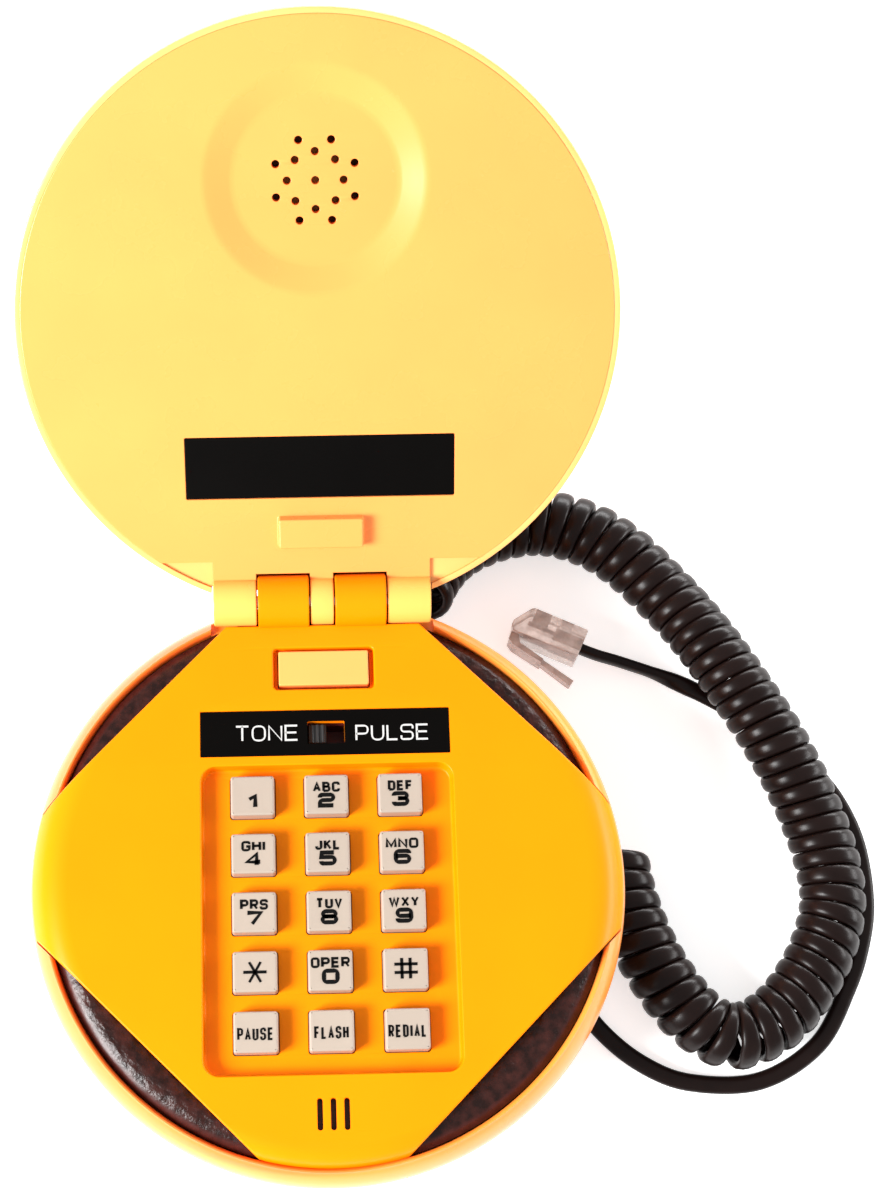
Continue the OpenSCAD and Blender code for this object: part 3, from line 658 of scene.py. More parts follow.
def make_plug():
    """Clear modular plug on its side: x along it, y across its thickness, z across its width."""
    l, h, w = 16, 3.3, 9.65
    shape = Shape()
    bar_of(shape, [(0.25, -h), (l - 3.3, -h), (l - 2.7, -h + 0.4), (l - 0.1, 0.9), (l, 1.15),
                   (l, 2.2), (l - 0.2, h - 0.5), (l - 0.7, h), (0.25, h), (0, h - 0.3),
                   (0, -h + 0.3)], w / 2, 0.25)
    cable = Shape().prism(box(-1, -1.4, 6.6, 1.4), -2.2, 2.2)
    window = Shape().prism([(3, -2 * h), (6.3, -2 * h), (6.1, -h + 1.3), (3.6, -h + 1.3)],
                           -2.4, 2.4)
    cores, slots, wires = Shape(), Shape(), Shape()
    for z in PINS:
        cores.prism(box(6, -0.5, l - 3.2, 0.5), z - 0.42, z + 0.42)
        slots.prism(box(l - 7.4, -2 * h, l - 3.8, -h + 2.4), z - 0.2, z + 0.2)
        wires.barrel(5.6, l - 3.6, 0.36, 0.1, 14, shift(0, 0, z))
    plug = make("plug_clear", shape, CLEAR, "base", ("plug_body",),
                PLUG_AT, 25, (cable, cores, window, slots))
    latch = Shape()
    bar_of(latch, [(l - 2.2, h - 0.1), (l - 0.5, h - 0.2), (l - 0.6, h + 1.7), (l - 2, h + 2.6),
                   (6.8, h + 3.9), (6.6, h + 3), (l - 3.2, h + 1.6)], 3.1, 0.12)
    bar_of(latch, [(7.6, h + 2.6), (7.6, h + 3.7), (-0.7, h + 5.9), (-1.0, h + 5.8),
                   (-1.3, h + 4.5)], 1.6, 0.12)
    make("plug_latch", latch, CLEAR, "base", (), PLUG_AT, 25)
    make("plug_wires", wires, WIRE, "base", (), PLUG_AT)
    return plug


PLUG_PIECE = make_plug()


# ------------ lower bun and patty

PANEL_HALF, PANEL_Y, PANEL_T = 50.4, 1.5, 2.2


def make_lower_bun():
    belly_r, belly_z, bottom, wall = 28, 27, 1, 2.4
    low = degrees(asin((bottom - belly_z) / belly_r))
    outer = ([(0, bottom), (42.9, bottom)] + arc(32.7, belly_z, belly_r, low, 0, 36)
             + arc(52.7, belly_z, 8, 4, 48.6, 12))
    lip = [(57.9, 33.2), (57.6, 33.17), (57.35, 32.95), (57.15, 32.5), (57.05, 31.9), (57.05, 29.9)]
    low_in = degrees(asin((bottom + wall - belly_z) / (belly_r - wall)))
    inner = (arc(52.7, belly_z, 8 - wall, 30, 0, 4)
             + arc(32.7, belly_z, belly_r - wall, -4, low_in, 16) + [(0, bottom + wall)])
    shape = Shape()
    shape.lathe(outer + lip + inner)
    pad = Shape().prism(circle(0, 0, 33.3, 96), 0, 1.5)
    holes = Shape()
    for x, y in box(-29.5, -24, 29.5, 24):
        holes.prism(circle(x, y, 3.2, 32), 0, 3.3)
    # The panel's side corners droop into the rim
    pockets = Shape()
    reach = (PANEL_HALF + 0.3) * sqrt(2)
    for s in (-1, 1):
        pockets.prism([(s * 36, PANEL_Y - (reach - 36)), (s * reach, PANEL_Y),
                       (s * 36, PANEL_Y + (reach - 36))], 30.3, 40)
    gap = Shape().prism(box(-23.2, 52, 23.2, 64), 31.3, 41)
    way = Shape().barrel(48, 62, 3.2, at=spin(EXIT_ANGLE, "Z") @ shift(0, 0, EXIT_Z))
    make("lower_bun", shape, LOWER_BUN, "base", ("bottom_bun",), BASE, 30,
         (pad, holes, pockets, gap, way))


def make_patty():
    section = ([(46.5, 28), (56.85, 28)] + arc(52.6, 27.9, 5.5, 39.4, 96, 18)
               + [(51.9 - 0.4 * k, 33.36 - 0.06 * k) for k in range(1, 13)] + [(46.5, 32.4)])
    n = 620
    well_r, well_half = 50.4, deg(16)
    shape = Shape()
    loops = []
    for r, z in section:
        loop = []
        for i in range(n):
            a = 2 * pi * i / n
            # The ring is cut back round the hook button's well
            rr = max(r, well_r) if abs(a - pi / 2) < well_half else r
            p = Vector((rr * cos(a), rr * sin(a), z))
            # Only the upper face is uneven
            if z > 30:
                coarse = noise.noise(p * 0.55)
                fine = noise.noise(p * 1.9 + Vector((9, 4, 2)))
                pitted = smoothstep((55.0 - r) / 0.9)
                p.z += 0.04 * coarse + pitted * (0.10 * coarse + 0.17 * fine)
            loop.append(p)
        loops.append(shape.ring(loop))
    shape.rings(loops + [loops[0]])
    make("patty_ring", shape, PATTY, "base", ("patty",), BASE, 70)


make_lower_bun()
make_patty()


# ------------ front panel

FACE = 36.0
BEND_AT, REAR_CUT, EDGE = 52.3, 52.8, 0.38
KEY_COLS, KEY_ROWS = (-15, 0, 15), (17, 5.1, -6.8, -18.7, -30.6)
KEY_W, KEY_D, KEY_GAP = 9, 8.3, 0.14
# Middle angle, radius of the bend and radius where the skirt ends. The rear one is cut straight
PANEL_CORNERS = ((0, 8.2, 60.0), (90, None, None), (180, 8.2, 60.0), (270, 5.0, 57.3))
# Floors sunk into the panel, and their undersides
TRAY_Z, TRAY_UNDER, WELL_Z, WELL_UNDER, PLATE_Z, PLATE_TOP = 32.6, 31.0, 33.4, 30.2, 35.6, 35.98
HOOK_Y, SPRING_Y, SWITCH_Y = 43.6, 43.3, 29.9
SWITCH_WINDOW = rounded(0.2, SWITCH_Y, 7.6, 4.8, 0.25, 2)


def bend_height(bend, r):
    """Height of the panel's bent edge at a radius, and the angle down its arc."""
    if bend is None or r <= BEND_AT:
        return FACE, 90.0
    c = min((r - BEND_AT) / bend, 1.0)
    return FACE - bend + bend * sqrt(1 - c * c), degrees(acos(c))


def side_distance(normal):
    """How far the panel's side that faces this way is from the base's axis."""
    return PANEL_HALF + PANEL_Y * sin(deg(normal))


def corner_stations(middle, bend, stop):
    """Edge points round a corner of the panel: angle, radius, normal of the cut edge.

    stop is the radius where a drooping skirt ends, or None for the corner cut straight at the
    hinge."""
    def along_side(s, radii):
        normal = middle + 45 * s
        d = side_distance(normal)
        return [(normal - s * degrees(acos(min(d / r, 1))), r, toward(normal)) for r in radii]

    rows, steps = 9 if stop else 5, 22
    if not stop:
        stop = hypot(side_distance(middle + 45) * sqrt(2) - REAR_CUT, REAR_CUT)
    radii = [BEND_AT + (stop - BEND_AT) * k / rows for k in range(rows + 1)]
    first, last = along_side(-1, radii), along_side(1, radii)
    fall = deg(bend_height(bend, stop)[1])
    end = []
    for k in range(1, steps):
        a = first[-1][0] + (last[-1][0] - first[-1][0]) * k / steps
        if bend is None:
            end.append((a, REAR_CUT / sin(deg(a)), Vector((0, 1, 0))))
        else:
            end.append((a, stop, toward(a) * sin(fall) - UP * cos(fall)))
    return first + end + last[::-1]


def surface(bend, a, r):
    """Point and normal of the panel's top at a polar place."""
    z, fall = bend_height(bend, r)
    return toward(a) * r + UP * z, toward(a) * cos(deg(fall)) + UP * sin(deg(fall))


def panel_top(shape):
    """The top sheet, its rounded outline and its cut edge. Returns flat and lower outlines."""
    stations = []
    for middle, bend, stop in PANEL_CORNERS:
        found = corner_stations(middle, bend, stop)
        for j, (a, r, edge) in enumerate(found):
            stations.append((bend, *surface(bend, a, r), edge, j in (0, len(found) - 1)))
    count, depth = len(stations), 9
    rings = [[] for _ in range(6)]
    for i, (_, p, n, edge, _) in enumerate(stations):
        before, after = stations[i - 1], stations[(i + 1) % count]
        run = (after[1] - before[1]).normalized()
        # At a kink the cut edge's normal is shared between its neighbours
        s = (before[3] + edge * 2 + after[3]).normalized()
        s = (s - run * s.dot(run)).normalized()
        down = run.cross(s)
        if down.dot(n) > 0:
            down = -down
        top = p - (s - n * s.dot(n)).normalized() * EDGE
        low = p + down * EDGE
        for k in range(5):
            rings[k].append(curve(top, p, low, k / 4))
        rings[5].append(p + down * PANEL_T)
    made = [shape.ring(r) for r in rings]
    shape.rings(made)
    # Where the sheet bends, steps run from the bend's start to the rim
    columns = []
    for v, top, (bend, *_, end) in zip(made[0], rings[0], stations):
        a, r = degrees(atan2(top.y, top.x)), hypot(top.x, top.y)
        if end or r <= BEND_AT + 0.02:
            columns.append([v] * (depth + 1))
        else:
            columns.append(shape.ring([surface(bend, a, BEND_AT + (r - BEND_AT) * k / depth)[0]
                                       for k in range(depth)]) + [v])
    for i, column in enumerate(columns):
        if not (stations[i - 1][4] and stations[i][4]):
            shape.strip(columns[i - 1], column, closed=False)
    return [c[0] for c in columns], made[5]


def make_panel():
    shape = Shape()
    top, under = panel_top(shape)
    back = FACE - PANEL_T
    top_holes, under_holes = [], []

    def recess(outline, profile, holes, hole_profile, wall, under_z):
        """A sunk tray with holes through its floor, and its walls as seen from below."""
        rim = shape.sweep(outline, profile)
        made = [shape.sweep(hole, hole_profile) for hole in holes]
        shape.plane(rim[-1], [hole[0] for hole in made])
        block = shape.sweep(outline, [(wall, back), (wall, under_z)])
        shape.plane(block[1], [hole[-1] for hole in made])
        top_holes.append(rim[0])
        under_holes.append(block[0])

    # Keypad recess, with a drafted wall, and the well round the hook button
    recess(rounded(0.2, -8, 51.2, 62.3, 3.2, 8),
           inner_edge(0.35, FACE) + [(-0.1, 33.9)] + floor_edge(0.6, TRAY_Z, -0.15),
           [rounded(x, y, KEY_W + 2 * KEY_GAP, KEY_D + 2 * KEY_GAP, 0.6, 4)
            for y in KEY_ROWS for x in KEY_COLS],
           inner_edge(0.15, TRAY_Z, 2) + [(0, TRAY_UNDER)], 1.2, TRAY_UNDER)
    recess(rounded(0, 43.5, 20.7, 8.8, 0.9, 5),
           inner_edge(0.35, FACE, 3) + floor_edge(0.4, WELL_Z, -0.1, 3),
           [rounded(0, HOOK_Y, 19, 7.7, 0.5, 3)], [(0, WELL_Z), (0, WELL_UNDER)], 1.4, WELL_UNDER)

    # Shallow pocket for the switch plate, and the window through it
    rim = shape.sweep(rounded(0, SWITCH_Y, 51.0, 9.6, 0.15, 2),
                      inner_edge(0.12, FACE, 2) + [(0, PLATE_Z)])
    top_holes.append(rim[0])
    hole = shape.sweep(SWITCH_WINDOW, [(0, PLATE_Z), (0, back)])
    shape.plane(rim[-1], [hole[0]])
    under_holes.append(hole[1])

    # Microphone slots
    for x in (-2.65, 0, 2.65):
        hole = shape.sweep(rounded(x, -46.8, 1.1, 6.2, 0.5, 4),
                           inner_edge(0.14, FACE, 2) + [(0, back)])
        top_holes.append(hole[0])
        under_holes.append(hole[-1])
    shape.plane(top, top_holes)
    shape.plane(under, under_holes)

    # Hinge knuckles on short webs
    for x0, x1 in ((-13.2, -2.7), (2.7, 13.2)):
        shape.barrel(x0, x1, 5.45, 0.35, 64, shift(*HINGE))
        shape.rod([shape.ring([(x, y, z) for y, z in grow(box(51.4, 32.1, 57.8, 35.9), off)])
                   for x, off in ((x0, -0.3), (x0 + 0.3, 0), (x1 - 0.3, 0), (x1, -0.3))])
    make("cheese_panel", shape, YELLOW, "base", ("front_panel",))


make_panel()


# ------------ lettering

# Strokes of plain square capitals in a unit box: an r marks a rounded corner, "loop" a closed line
GLYPHS = {
    "A": (1, "0,0 .5,1 1,0", ".18,.33 .82,.33"),
    "B": (1, "0,0 0,1 .88,1r .88,.53r 0,.53", "0,.53 1,.53r 1,0r 0,0"),
    "C": (1, "1,.72 1,1r 0,1r 0,0r 1,0r 1,.28"), "D": (1, "0,0 0,1 1,1r 1,0r 0,0"),
    "E": (0.95, "1,1 0,1 0,0 1,0", "0,.52 .92,.52"), "F": (0.92, "1,1 0,1 0,0", "0,.5 .88,.5"),
    "G": (1, "1,.75 1,1r 0,1r 0,0r 1,0r 1,.46 .55,.46"),
    "H": (1, "0,0 0,1", "1,0 1,1", "0,.52 1,.52"), "I": (0, "0,0 0,1"),
    "J": (0.85, "1,1 1,0r 0,0r 0,.3"), "K": (1, "0,0 0,1", ".95,1 0,.42", ".35,.62 1,0"),
    "L": (0.85, "0,1 0,0 1,0"), "M": (1.2, "0,0 0,1 .5,.12 1,1 1,0"), "N": (1, "0,0 0,1 1,0 1,1"),
    "O": (1, "0,0r 1,0r 1,1r 0,1r loop"), "P": (1, "0,0 0,1 1,1r 1,.44r 0,.44"),
    "R": (1, "0,0 0,1 1,1r 1,.46r 0,.46", ".5,.46 1,0"),
    "S": (1, "1,.74 1,1r 0,1r 0,.52r 1,.52r 1,0r 0,0r 0,.26"), "T": (1, "0,1 1,1", ".5,1 .5,0"),
    "U": (1, "0,1 0,0r 1,0r 1,1"), "V": (1, "0,1 .5,0 1,1"),
    "W": (1.45, "0,1 .26,0 .5,.9 .74,0 1,1"), "X": (1, "0,0 1,1", "0,1 1,0"),
    "Y": (1, "0,1 .5,.42 1,1", ".5,.42 .5,0"), "0": (1, "0,0r 1,0r 1,1r 0,1r loop"),
    "1": (1, "0,.72 .9,1 .9,0"), "2": (1, "0,.74 0,1r 1,1r 1,.5r 0,.5r 0,0 1,0"),
    "3": (1, "0,.78 0,1r .97,1r .97,.53r .3,.53", ".3,.53 1,.53r 1,0r 0,0r 0,.22"),
    "4": (1, ".74,0 .74,1 0,.28 1,.28"), "5": (1, ".95,1 .05,1 0,.58 1,.58r 1,0r 0,0r 0,.22"),
    "6": (1, "1,.78 1,1r 0,1r 0,0r 1,0r 1,.56r 0,.56"), "7": (1, "0,1 1,1 .35,0"),
    "8": (1, ".04,.53r .96,.53r .96,1r .04,1r loop", "0,0r 1,0r 1,.53r 0,.53r loop"),
    "9": (1, "0,.22 0,0r 1,0r 1,1r 0,1r 0,.44r 1,.44"),
}
INK = 0.02


def softened(marks, radius):
    """A stroke's points, with the marked corners rounded."""
    out = []
    for i, (x, y, soft) in enumerate(marks):
        p = Vector((x, y))
        if not soft:
            out.append(p)
            continue
        a = Vector(marks[i - 1][:2]) - p
        b = Vector(marks[(i + 1) % len(marks)][:2]) - p
        r = min(radius, 0.49 * a.length, 0.49 * b.length)
        a, b = p + a.normalized() * r, p + b.normalized() * r
        out += [curve(a, p, b, k / 5) for k in range(6)]
    return out


def ribbon(shape, points, width, closed=False):
    """A thin flat band along a line, mitred at its corners."""
    n = len(points)
    loops = []
    for i, p in enumerate(points):
        a = p - points[i - 1] if i or closed else points[1] - p
        b = points[(i + 1) % n] - p if i < n - 1 or closed else a
        a, b = a.normalized(), b.normalized()
        n1, n2 = Vector((-a.y, a.x)), Vector((-b.y, b.x))
        m = (n1 + n2).normalized()
        # Slanting strokes are drawn lighter
        slant = max(abs(a.x * a.y), abs(b.x * b.y))
        side = m * (width * (1 - 0.45 * slant) / 2 / max(m.dot(n1), 0.62))
        l, r = p + side, p - side
        loops.append(shape.ring([(l.x, l.y, INK), (r.x, r.y, INK), (r.x, r.y, 0), (l.x, l.y, 0)]))
    if closed:
        shape.rings(loops + [loops[0]])
    else:
        shape.rod(loops)


def lettering(text, width, height, stroke, radius=0.34):
    """Plain capitals or a figure, centred, fitted to a total width and height."""
    shape = Shape()
    gap = stroke + 0.13 * height
    parts = [GLYPHS[c] for c in text]
    cell = (width - stroke - gap * (len(text) - 1)) / sum(p[0] for p in parts)
    tall = height - stroke
    x0 = -(width - stroke) / 2
    for wide, *lines in parts:
        for line in lines:
            marks = []
            for word in line.replace(" loop", "").split():
                x, y = word.rstrip("r").split(",")
                marks.append((x0 + float(x) * cell * wide, (float(y) - 0.5) * tall,
                              word.endswith("r")))
            ribbon(shape, softened(marks, radius), stroke, line.endswith("loop"))
        x0 += cell * wide + gap
    return shape


def bars(lines, width):
    """Straight strokes."""
    shape = Shape()
    for x0, y0, x1, y1 in lines:
        ribbon(shape, [Vector((x0, y0)), Vector((x1, y1))], width)
    return shape


def printed(name, parts, z, material, body):
    """Ink a hair proud of the face at z. parts: (shape, x, y)."""
    shape = Shape()
    for part, x, y in parts:
        shape.add(part, shift(x, y, z))
    make(name, shape, material, body)


# ------------ keys, hook button, switch

KEY_TOP = 35.8
# Name, main marking, letters above it and their width
KEYS = (("1", "1", "", 0), ("2", "2", "ABC", 5.5), ("3", "3", "DEF", 5.0), ("4", "4", "GHI", 4.8),
        ("5", "5", "JKL", 5.0), ("6", "6", "MNO", 6.6), ("7", "7", "PRS", 5.6),
        ("8", "8", "TUV", 5.3), ("9", "9", "WXY", 6.1), ("star", "*", "", 0),
        ("0", "0", "OPER", 7.8), ("hash", "#", "", 0), ("left", "PAUSE", "", 7.15),
        ("middle", "FLASH", "", 6.8), ("right", "REDIAL", "", 7.55))
STAR = [(x, y, -x, -y) for x, y in arc(0, 0, 2.3, 0, 120, 2)]
HASH = [(-2.3, y, 2.3, y) for y in (0.83, -0.83)] + [(x, -2.05, x, 2.05) for x in (-0.83, 0.83)]


def make_key(name, mark, letters, wide, x, y):
    shape = Shape()
    outline = rounded(x, y, KEY_W, KEY_D, 0.65, 5)
    loops = shape.sweep(outline, [(0.9, 29.4), (0.9, 30.6), (0, 30.6), (0, 33.0)]
                        + [(o - 0.1, z) for o, z in outer_edge(0.42, KEY_TOP)])
    shape.plane(loops[0])
    # The top is dished by a hair: the fill is stepped in and down
    inner = shape.sweep(grow(outline, -0.1), [(-1.1, KEY_TOP - 0.03), (-2.4, KEY_TOP - 0.06)])
    shape.strip(loops[-1], inner[0])
    shape.plane(inner[-1])
    body = "key_" + name
    make("cap_" + name, shape, KEY_IVORY, body, (body,))
    if mark == "*":
        parts = [(bars(STAR, 0.6), x, y - 0.1)]
    elif mark == "#":
        parts = [(bars(HASH, 0.6), x, y + 0.05)]
    elif len(mark) > 1:
        parts = [(lettering(mark, wide, 2.5, 0.44), x - 0.1, y - 0.4)]
    else:
        parts = [(lettering(mark, 2.2 if mark == "1" else 3.55, 3.1, 0.88, 0.65), x, y - 1.25)]
    if letters:
        parts.append((lettering(letters, wide, 2.15, 0.52), x, y + 1.5))
    printed("legend_" + name, parts, KEY_TOP, BLACK_INK, body)


for i, (name, mark, letters, wide) in enumerate(KEYS):
    make_key(name, mark, letters, wide, KEY_COLS[i % 3], KEY_ROWS[i // 3])


def make_hook_button():
    shape = Shape()
    outline = rounded(0, HOOK_Y, 18.5, 7.3, 0.35, 3)
    loops = shape.sweep(outline, [(0.9, 28.9), (0.9, 29.8), (0, 29.8)] + outer_edge(0.3, 35.9))
    inside = shape.sweep(rounded(0, SPRING_Y, 15.5, 5.6, 0.15, 2), [(0, 28.9), (0, 34.3)])
    shape.plane(loops[0], [inside[0]])
    shape.plane(inside[1])
    shape.plane(loops[-1])
    make("hook_cap", shape, HOOK_CREAM, "hook_button", ("hook_button",))


def make_hook_spring():
    """Coil spring under the hook button."""
    low, high, pressed = 25.92, 33.95, 2.5
    turns, steps, coil_x, coil_r, wire_r = 5, 24, -4.5, 2.1, 0.28
    around = circle(coil_x, SPRING_Y, coil_r, steps)
    line = [Vector((*around[i % steps], low + (high - low) * i / (turns * steps)))
            for i in range(turns * steps + 1)]
    shape = Shape()
    loops = []
    for i, p in enumerate(line):
        side, up = across(line, i)
        loops.append(shape.ring([p + side * x + up * y for x, y in circle(0, 0, wire_r, 8)]))
    shape.rod(loops)
    spring = make("button_spring", shape, STEEL, "base", ("hook_spring",))
    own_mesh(spring)


def make_plate(name, y, w, h, z0, z1, replaces, body, matrix=BASE, holes=()):
    shape = Shape().solid(rounded(0, y, w, h, 0.2, 2), [(0, z0)] + outer_edge(0.12, z1, 2), holes)
    make(name, shape, BLACK_PLATE, body, (replaces,), matrix)


def make_slider():
    """The switch's knob, with three ridges across its top."""
    shape = Shape()
    middle, top = -1.5, 34.6
    shape.solid(rounded(middle, SWITCH_Y, 3.6, 4, 0.25, 3), [(0, 27.0)] + outer_edge(0.2, top, 3))
    for i in (-1, 0, 1):
        shape.barrel(-1.9, 1.9, 0.36, 0.1, 16,
                     shift(middle + 1.1 * i, SWITCH_Y, top) @ spin(90, "Z"))
    make("switch_knob", shape, SLIDER, "mode_slider", ("mode_slider",))


make_hook_button()
make_hook_spring()
make_plate("switch_label", SWITCH_Y, 50.8, 9.4, PLATE_Z, PLATE_TOP, "switch_plate", "base",
           holes=[SWITCH_WINDOW])
make_slider()
printed("switch_words", [(lettering("TONE", 12.9, 3.4, 0.4, 1.15), -11.9, SWITCH_Y),
                         (lettering("PULSE", 15.0, 3.4, 0.4, 1.15), 13.7, SWITCH_Y - 0.3)],
        PLATE_TOP, WHITE_INK, "base")


# ------------ lid

# The lid is drawn lying level with its inner face up: the hinge's axis is at y = z = 0, the face
# close to z = 0 and the dome below it
LID_R, LID_UNDER = 59.0, -4.4
DOME_R, DOME_H, SHOULDER_R, SHOULDER_Z = 60.7, 42.0, 24.0, -6.0
LABEL_Y = 28.6
# Where each of the lid's hinge knuckles starts and ends along X
LID_KNUCKLES = ((-22.4, -13.5), (-2.4, 2.4), (13.5, 22.4))


def make_dome():
    wide, shoulder = SHOULDER_Z, SHOULDER_R
    sx = DOME_R - shoulder
    gap = DOME_H + wide
    crown = (sx * sx + gap * gap - shoulder * shoulder) / (2 * (gap - shoulder))
    crown_w = crown - DOME_H
    tip = degrees(atan2(crown_w - wide, sx))
    start = -degrees(asin((crown_w - wide) / (crown - shoulder)))
    outer = ([(59.03, 0.11), (59.15, 0.15), (59.9, 0.14), (60.15, 0), (60.28, -0.3),
              (60.38, -1.5), (60.56, -3.2)]
             + arc(sx, wide, shoulder, -1, -tip, 30)
             + arc(0, crown_w, crown, start - 2, -90, 26))
    wall = 2.4
    inner = (arc(0, crown_w, crown - wall, -90, start, 12)
             + arc(sx, wide, shoulder - wall, -tip, 4, 12) + [(57.9, -2.0), (59.03, -2.0)])
    shape = Shape()
    shape.lathe([(max(r, 0.0), z) for r, z in outer + inner + outer[:1]], HINGE.y)
    gap_box = Shape().prism(box(-22.8, -8, 22.8, 5.3), -11, 3)
    make("upper_bun", shape, UPPER_BUN, "lid", ("bun_top",), LID, 30, (gap_box,))

    # Ledges beside the hinge, joined to the shell's wall
    ledges = Shape()
    for s in (-1, 1):
        edge = [(s * x, HINGE.y - sqrt(LID_R ** 2 - x * x)) for x in (33.5, 31, 28.5, 26, 22.9)]
        ledges.prism(edge + [(s * 22.45, edge[-1][1]), (s * 22.45, 12.0), (s * 33.5, 12.0)],
                     LID_UNDER, -0.5)
    make("upper_bun_ledges", ledges, UPPER_BUN, "lid", (), LID)


def seed_shape():
    """A sesame seed along +X: a flattened drop with a blunt end."""
    shape = Shape()
    loops = []
    steps = 12
    for k in range(steps + 1):
        a = pi * k / steps
        x = -1.85 * cos(a)
        width = 1.12 * sin(a) ** 0.85 * (1 + 0.22 * cos(pi - a)) if 0 < k < steps else 0
        loops.append(shape.hoop(width, [(x, y, 0.64 * z) for y, z in circle(0, 0, width, 12)]))
    shape.rings(loops)
    return shape


def make_seeds():
    crown = 86.1
    seed = seed_shape()
    shape = Shape()
    for radius, step in ((10, 0), (20, 1), (29, 2), (37, 3)):
        count = 5 + 4 * step
        for k in range(count):
            lean = degrees(asin(radius / crown))
            shape.add(seed, shift(0, HINGE.y, 0) @ spin(360 * k / count + 37 * step, "Z")
                      @ shift(0, 0, crown - DOME_H) @ spin(-lean, "Y")
                      @ shift(0, 0, -crown - 0.1) @ spin(61 * k + 23 * step, "Z"))
    make("seeds", shape, SEED, "lid", ("sesame_seeds",), LID, 60)


def make_lid_plate():
    shape = Shape()
    top, bottom, dish_z = 0.3, -1.9, -1.4
    chord_a = degrees(atan2(8.8 - HINGE.y, 32.86))
    disc = arc(0, HINGE.y, LID_R, chord_a, 180 - chord_a, 150)
    # The plate runs on over the knuckles and is notched between them
    notched = [point for x0, x1 in LID_KNUCKLES
               for point in ((x0, 6.1), (x0, 1.0), (x1, 1.0), (x1, 6.1))]
    tab = [(notched[0][0], 8.8), *notched[1:-1], (notched[-1][0], 8.8)]
    rim = shape.sweep(disc + tab, [(-0.22, top), (-0.08, top - 0.04), (-0.01, top - 0.11),
                                   (0, top - 0.2), (0, bottom)])
    dish_rim = circle(0, EAR_V, 21.6, 120)
    dish = shape.sweep(dish_rim, [(1.1, top), (0.5, top - 0.04), (-0.05, top - 0.14),
                                  (-0.7, top - 0.34), (-2.5, top - 0.88), (-4.5, top - 1.48),
                                  (-5.2, top - 1.64), (-6.1, dish_z)])
    # Receiver holes: one in the middle and two rings of eight
    spots = [(0, EAR_V)] + circle(0, EAR_V, 5.55, 8) + arc(0, EAR_V, 8.35, 22.5, 337.5, 7)
    holes = [shape.sweep(circle(x, y, 0.8, 20), [(0.12, dish_z), (0.03, dish_z - 0.04),
                                                 (0, dish_z - 0.12), (0, LID_UNDER)])
             for x, y in spots]
    shape.plane(dish[-1], [hole[0] for hole in holes])
    back = shape.sweep(dish_rim, [(2.0, bottom), (-3.3, LID_UNDER)])
    shape.plane(back[-1], [hole[-1] for hole in holes])
    cut = shape.sweep(rounded(0, LABEL_Y, 54.7, 12.9, 0.3, 2),
                      inner_edge(0.12, top, 2) + [(0, -0.1)])
    shape.plane(cut[-1])
    raised = shape.sweep(rounded(0, 15.2, 17.3, 6.3, 0.5, 4),
                         [(0.45, top), (0.14, top + 0.12), (0, top + 0.4), (-0.08, top + 2.2)]
                         + [(o - 0.08, z) for o, z in outer_edge(0.35, top + 2.6)])
    shape.plane(raised[-1])
    shape.plane(rim[0], [dish[0], cut[0], raised[0]])
    shape.plane(rim[-1], [back[0]])

    # Thick tab under the plate, and the three knuckles
    shape.prism(box(-22.3, 5.7, 22.3, 12), LID_UNDER, -1.8)
    make("lid_face", shape, LID_CREAM, "lid", ("lid_plate",), LID)
    knuckles = Shape()
    for x0, x1 in LID_KNUCKLES:
        knuckles.barrel(x0, x1, 4.92, 0.35, 64)
        knuckles.prism(box(x0 + 0.1, 0, x1 - 0.1, 5.4), -4.3, 0.0)
    # The knuckles take the painted-light copy of the lid's colour.
    make("lid_knuckles", knuckles, KNUCKLE_PAINTED_LIGHT_CREAM, "lid", (), LID)


make_dome()
make_seeds()
make_lid_plate()
make_plate("lid_label", LABEL_Y, 54.5, 12.7, -0.1, 0.28, "lid_nameplate", "lid", LID)


# ------------ CAD pieces that show as they are

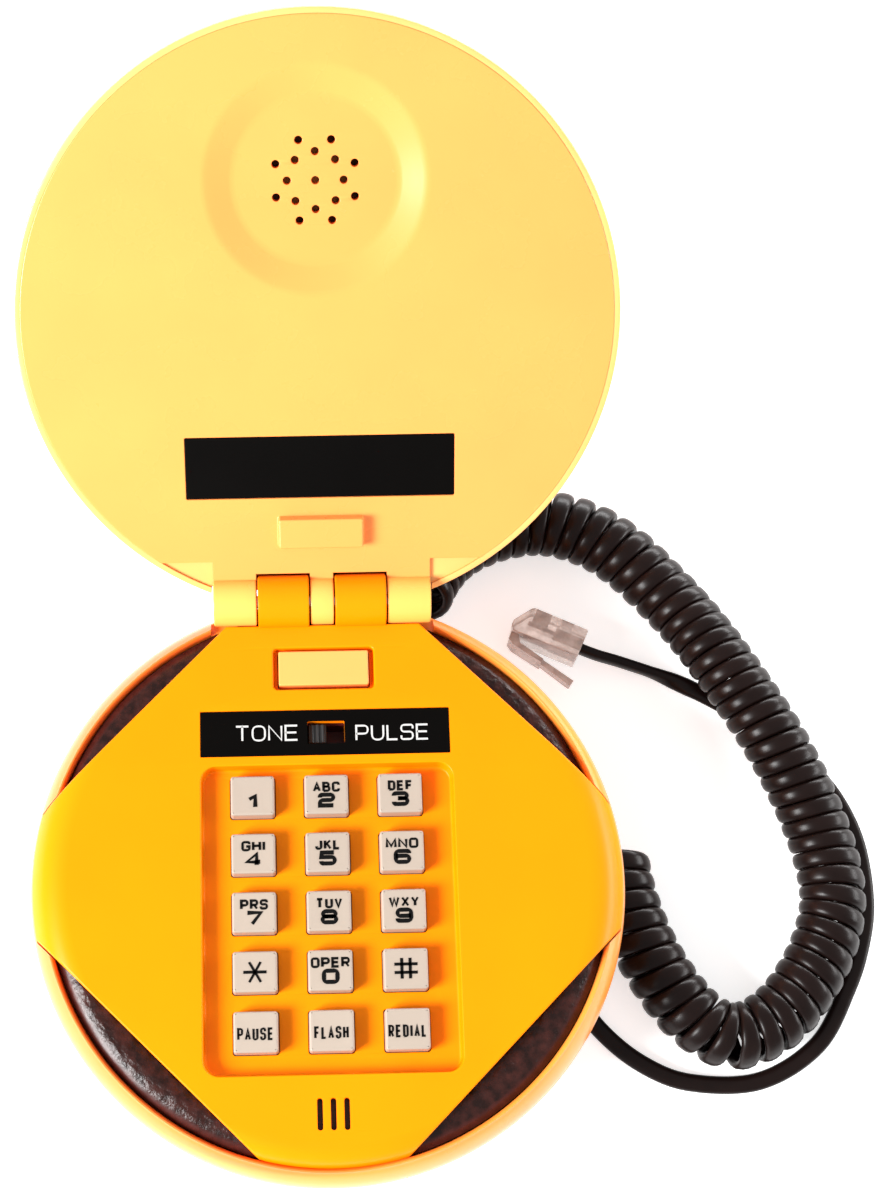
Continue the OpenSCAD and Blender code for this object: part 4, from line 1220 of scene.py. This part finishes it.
NODE_LOOKS = (
    (FOOT, "foot_pad"), (GROMMET, "cord_grommet"), (GOLD, "plug_contacts"), (BOARD, "main_board"),
    (SWITCH_RED, "mode_switch"), (MAT_GREY, "keypad_mat"), (CAPSULE, "receiver_capsule"),
    (CAN, "receiver_clamp"), (BLACK_PART, "hook_switch microphone ringer"),
    (STEEL, "board_screws ballast_weight case_screws hinge_pin"))
for look, names in NODE_LOOKS:
    for name in names.split():
        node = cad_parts[name]
        if not node.material_slots:
            node.data.materials.append(look)
        for entry in node.material_slots:
            entry.material = look


# ------------ studio

def make_floor():
    look = Look("studio_white")
    look.base(look.mottled((0.90, 0.90, 0.90), (0.93, 0.93, 0.93), 3))
    put(look.bsdf, Roughness=0.9, Specular_IOR_Level=0.1, Emission_Color=(1, 1, 1, 1),
        Emission_Strength=0.6)
    me = bpy.data.meshes.new("floor")
    me.from_pydata([(x, y, 0) for x, y in box(-4, -4, 4, 4)], [], [(0, 1, 2, 3)])
    me.materials.append(look.mat)
    floor = place_object("floor", me)


def softbox(name, azimuth, elevation, distance, width, height, watts):
    """An area light that looks at the telephone. Azimuth from +X towards +Y."""
    data = bpy.data.lights.new(name, "AREA")
    data.shape, data.size, data.size_y, data.energy = "RECTANGLE", width, height, watts
    lamp = place_object(name, data)
    target = Vector((0.02, 0.05, 0.03))
    a, e = deg(azimuth), deg(elevation)
    way = Vector((cos(a) * cos(e), sin(a) * cos(e), sin(e)))
    lamp.location = target + way * distance
    lamp.rotation_mode = "QUATERNION"
    lamp.rotation_quaternion = way.to_track_quat("Z", "Y")


def make_studio():
    make_floor()
    softbox("softbox_right", 5, 11, 0.9, 0.6, 0.25, 7)
    softbox("softbox_back", 65, 9, 0.9, 1.0, 0.2, 14)
    softbox("softbox_left", 206, 33, 0.9, 0.36, 0.36, 19.4)
    world = bpy.data.worlds.new("studio")
    bpy.context.scene.world = world
    world.use_nodes = True
    put(world.node_tree.nodes["Background"], Color=(1, 1, 1, 1), Strength=0.65)
    bpy.context.scene.view_settings.view_transform = "Standard"


make_studio()
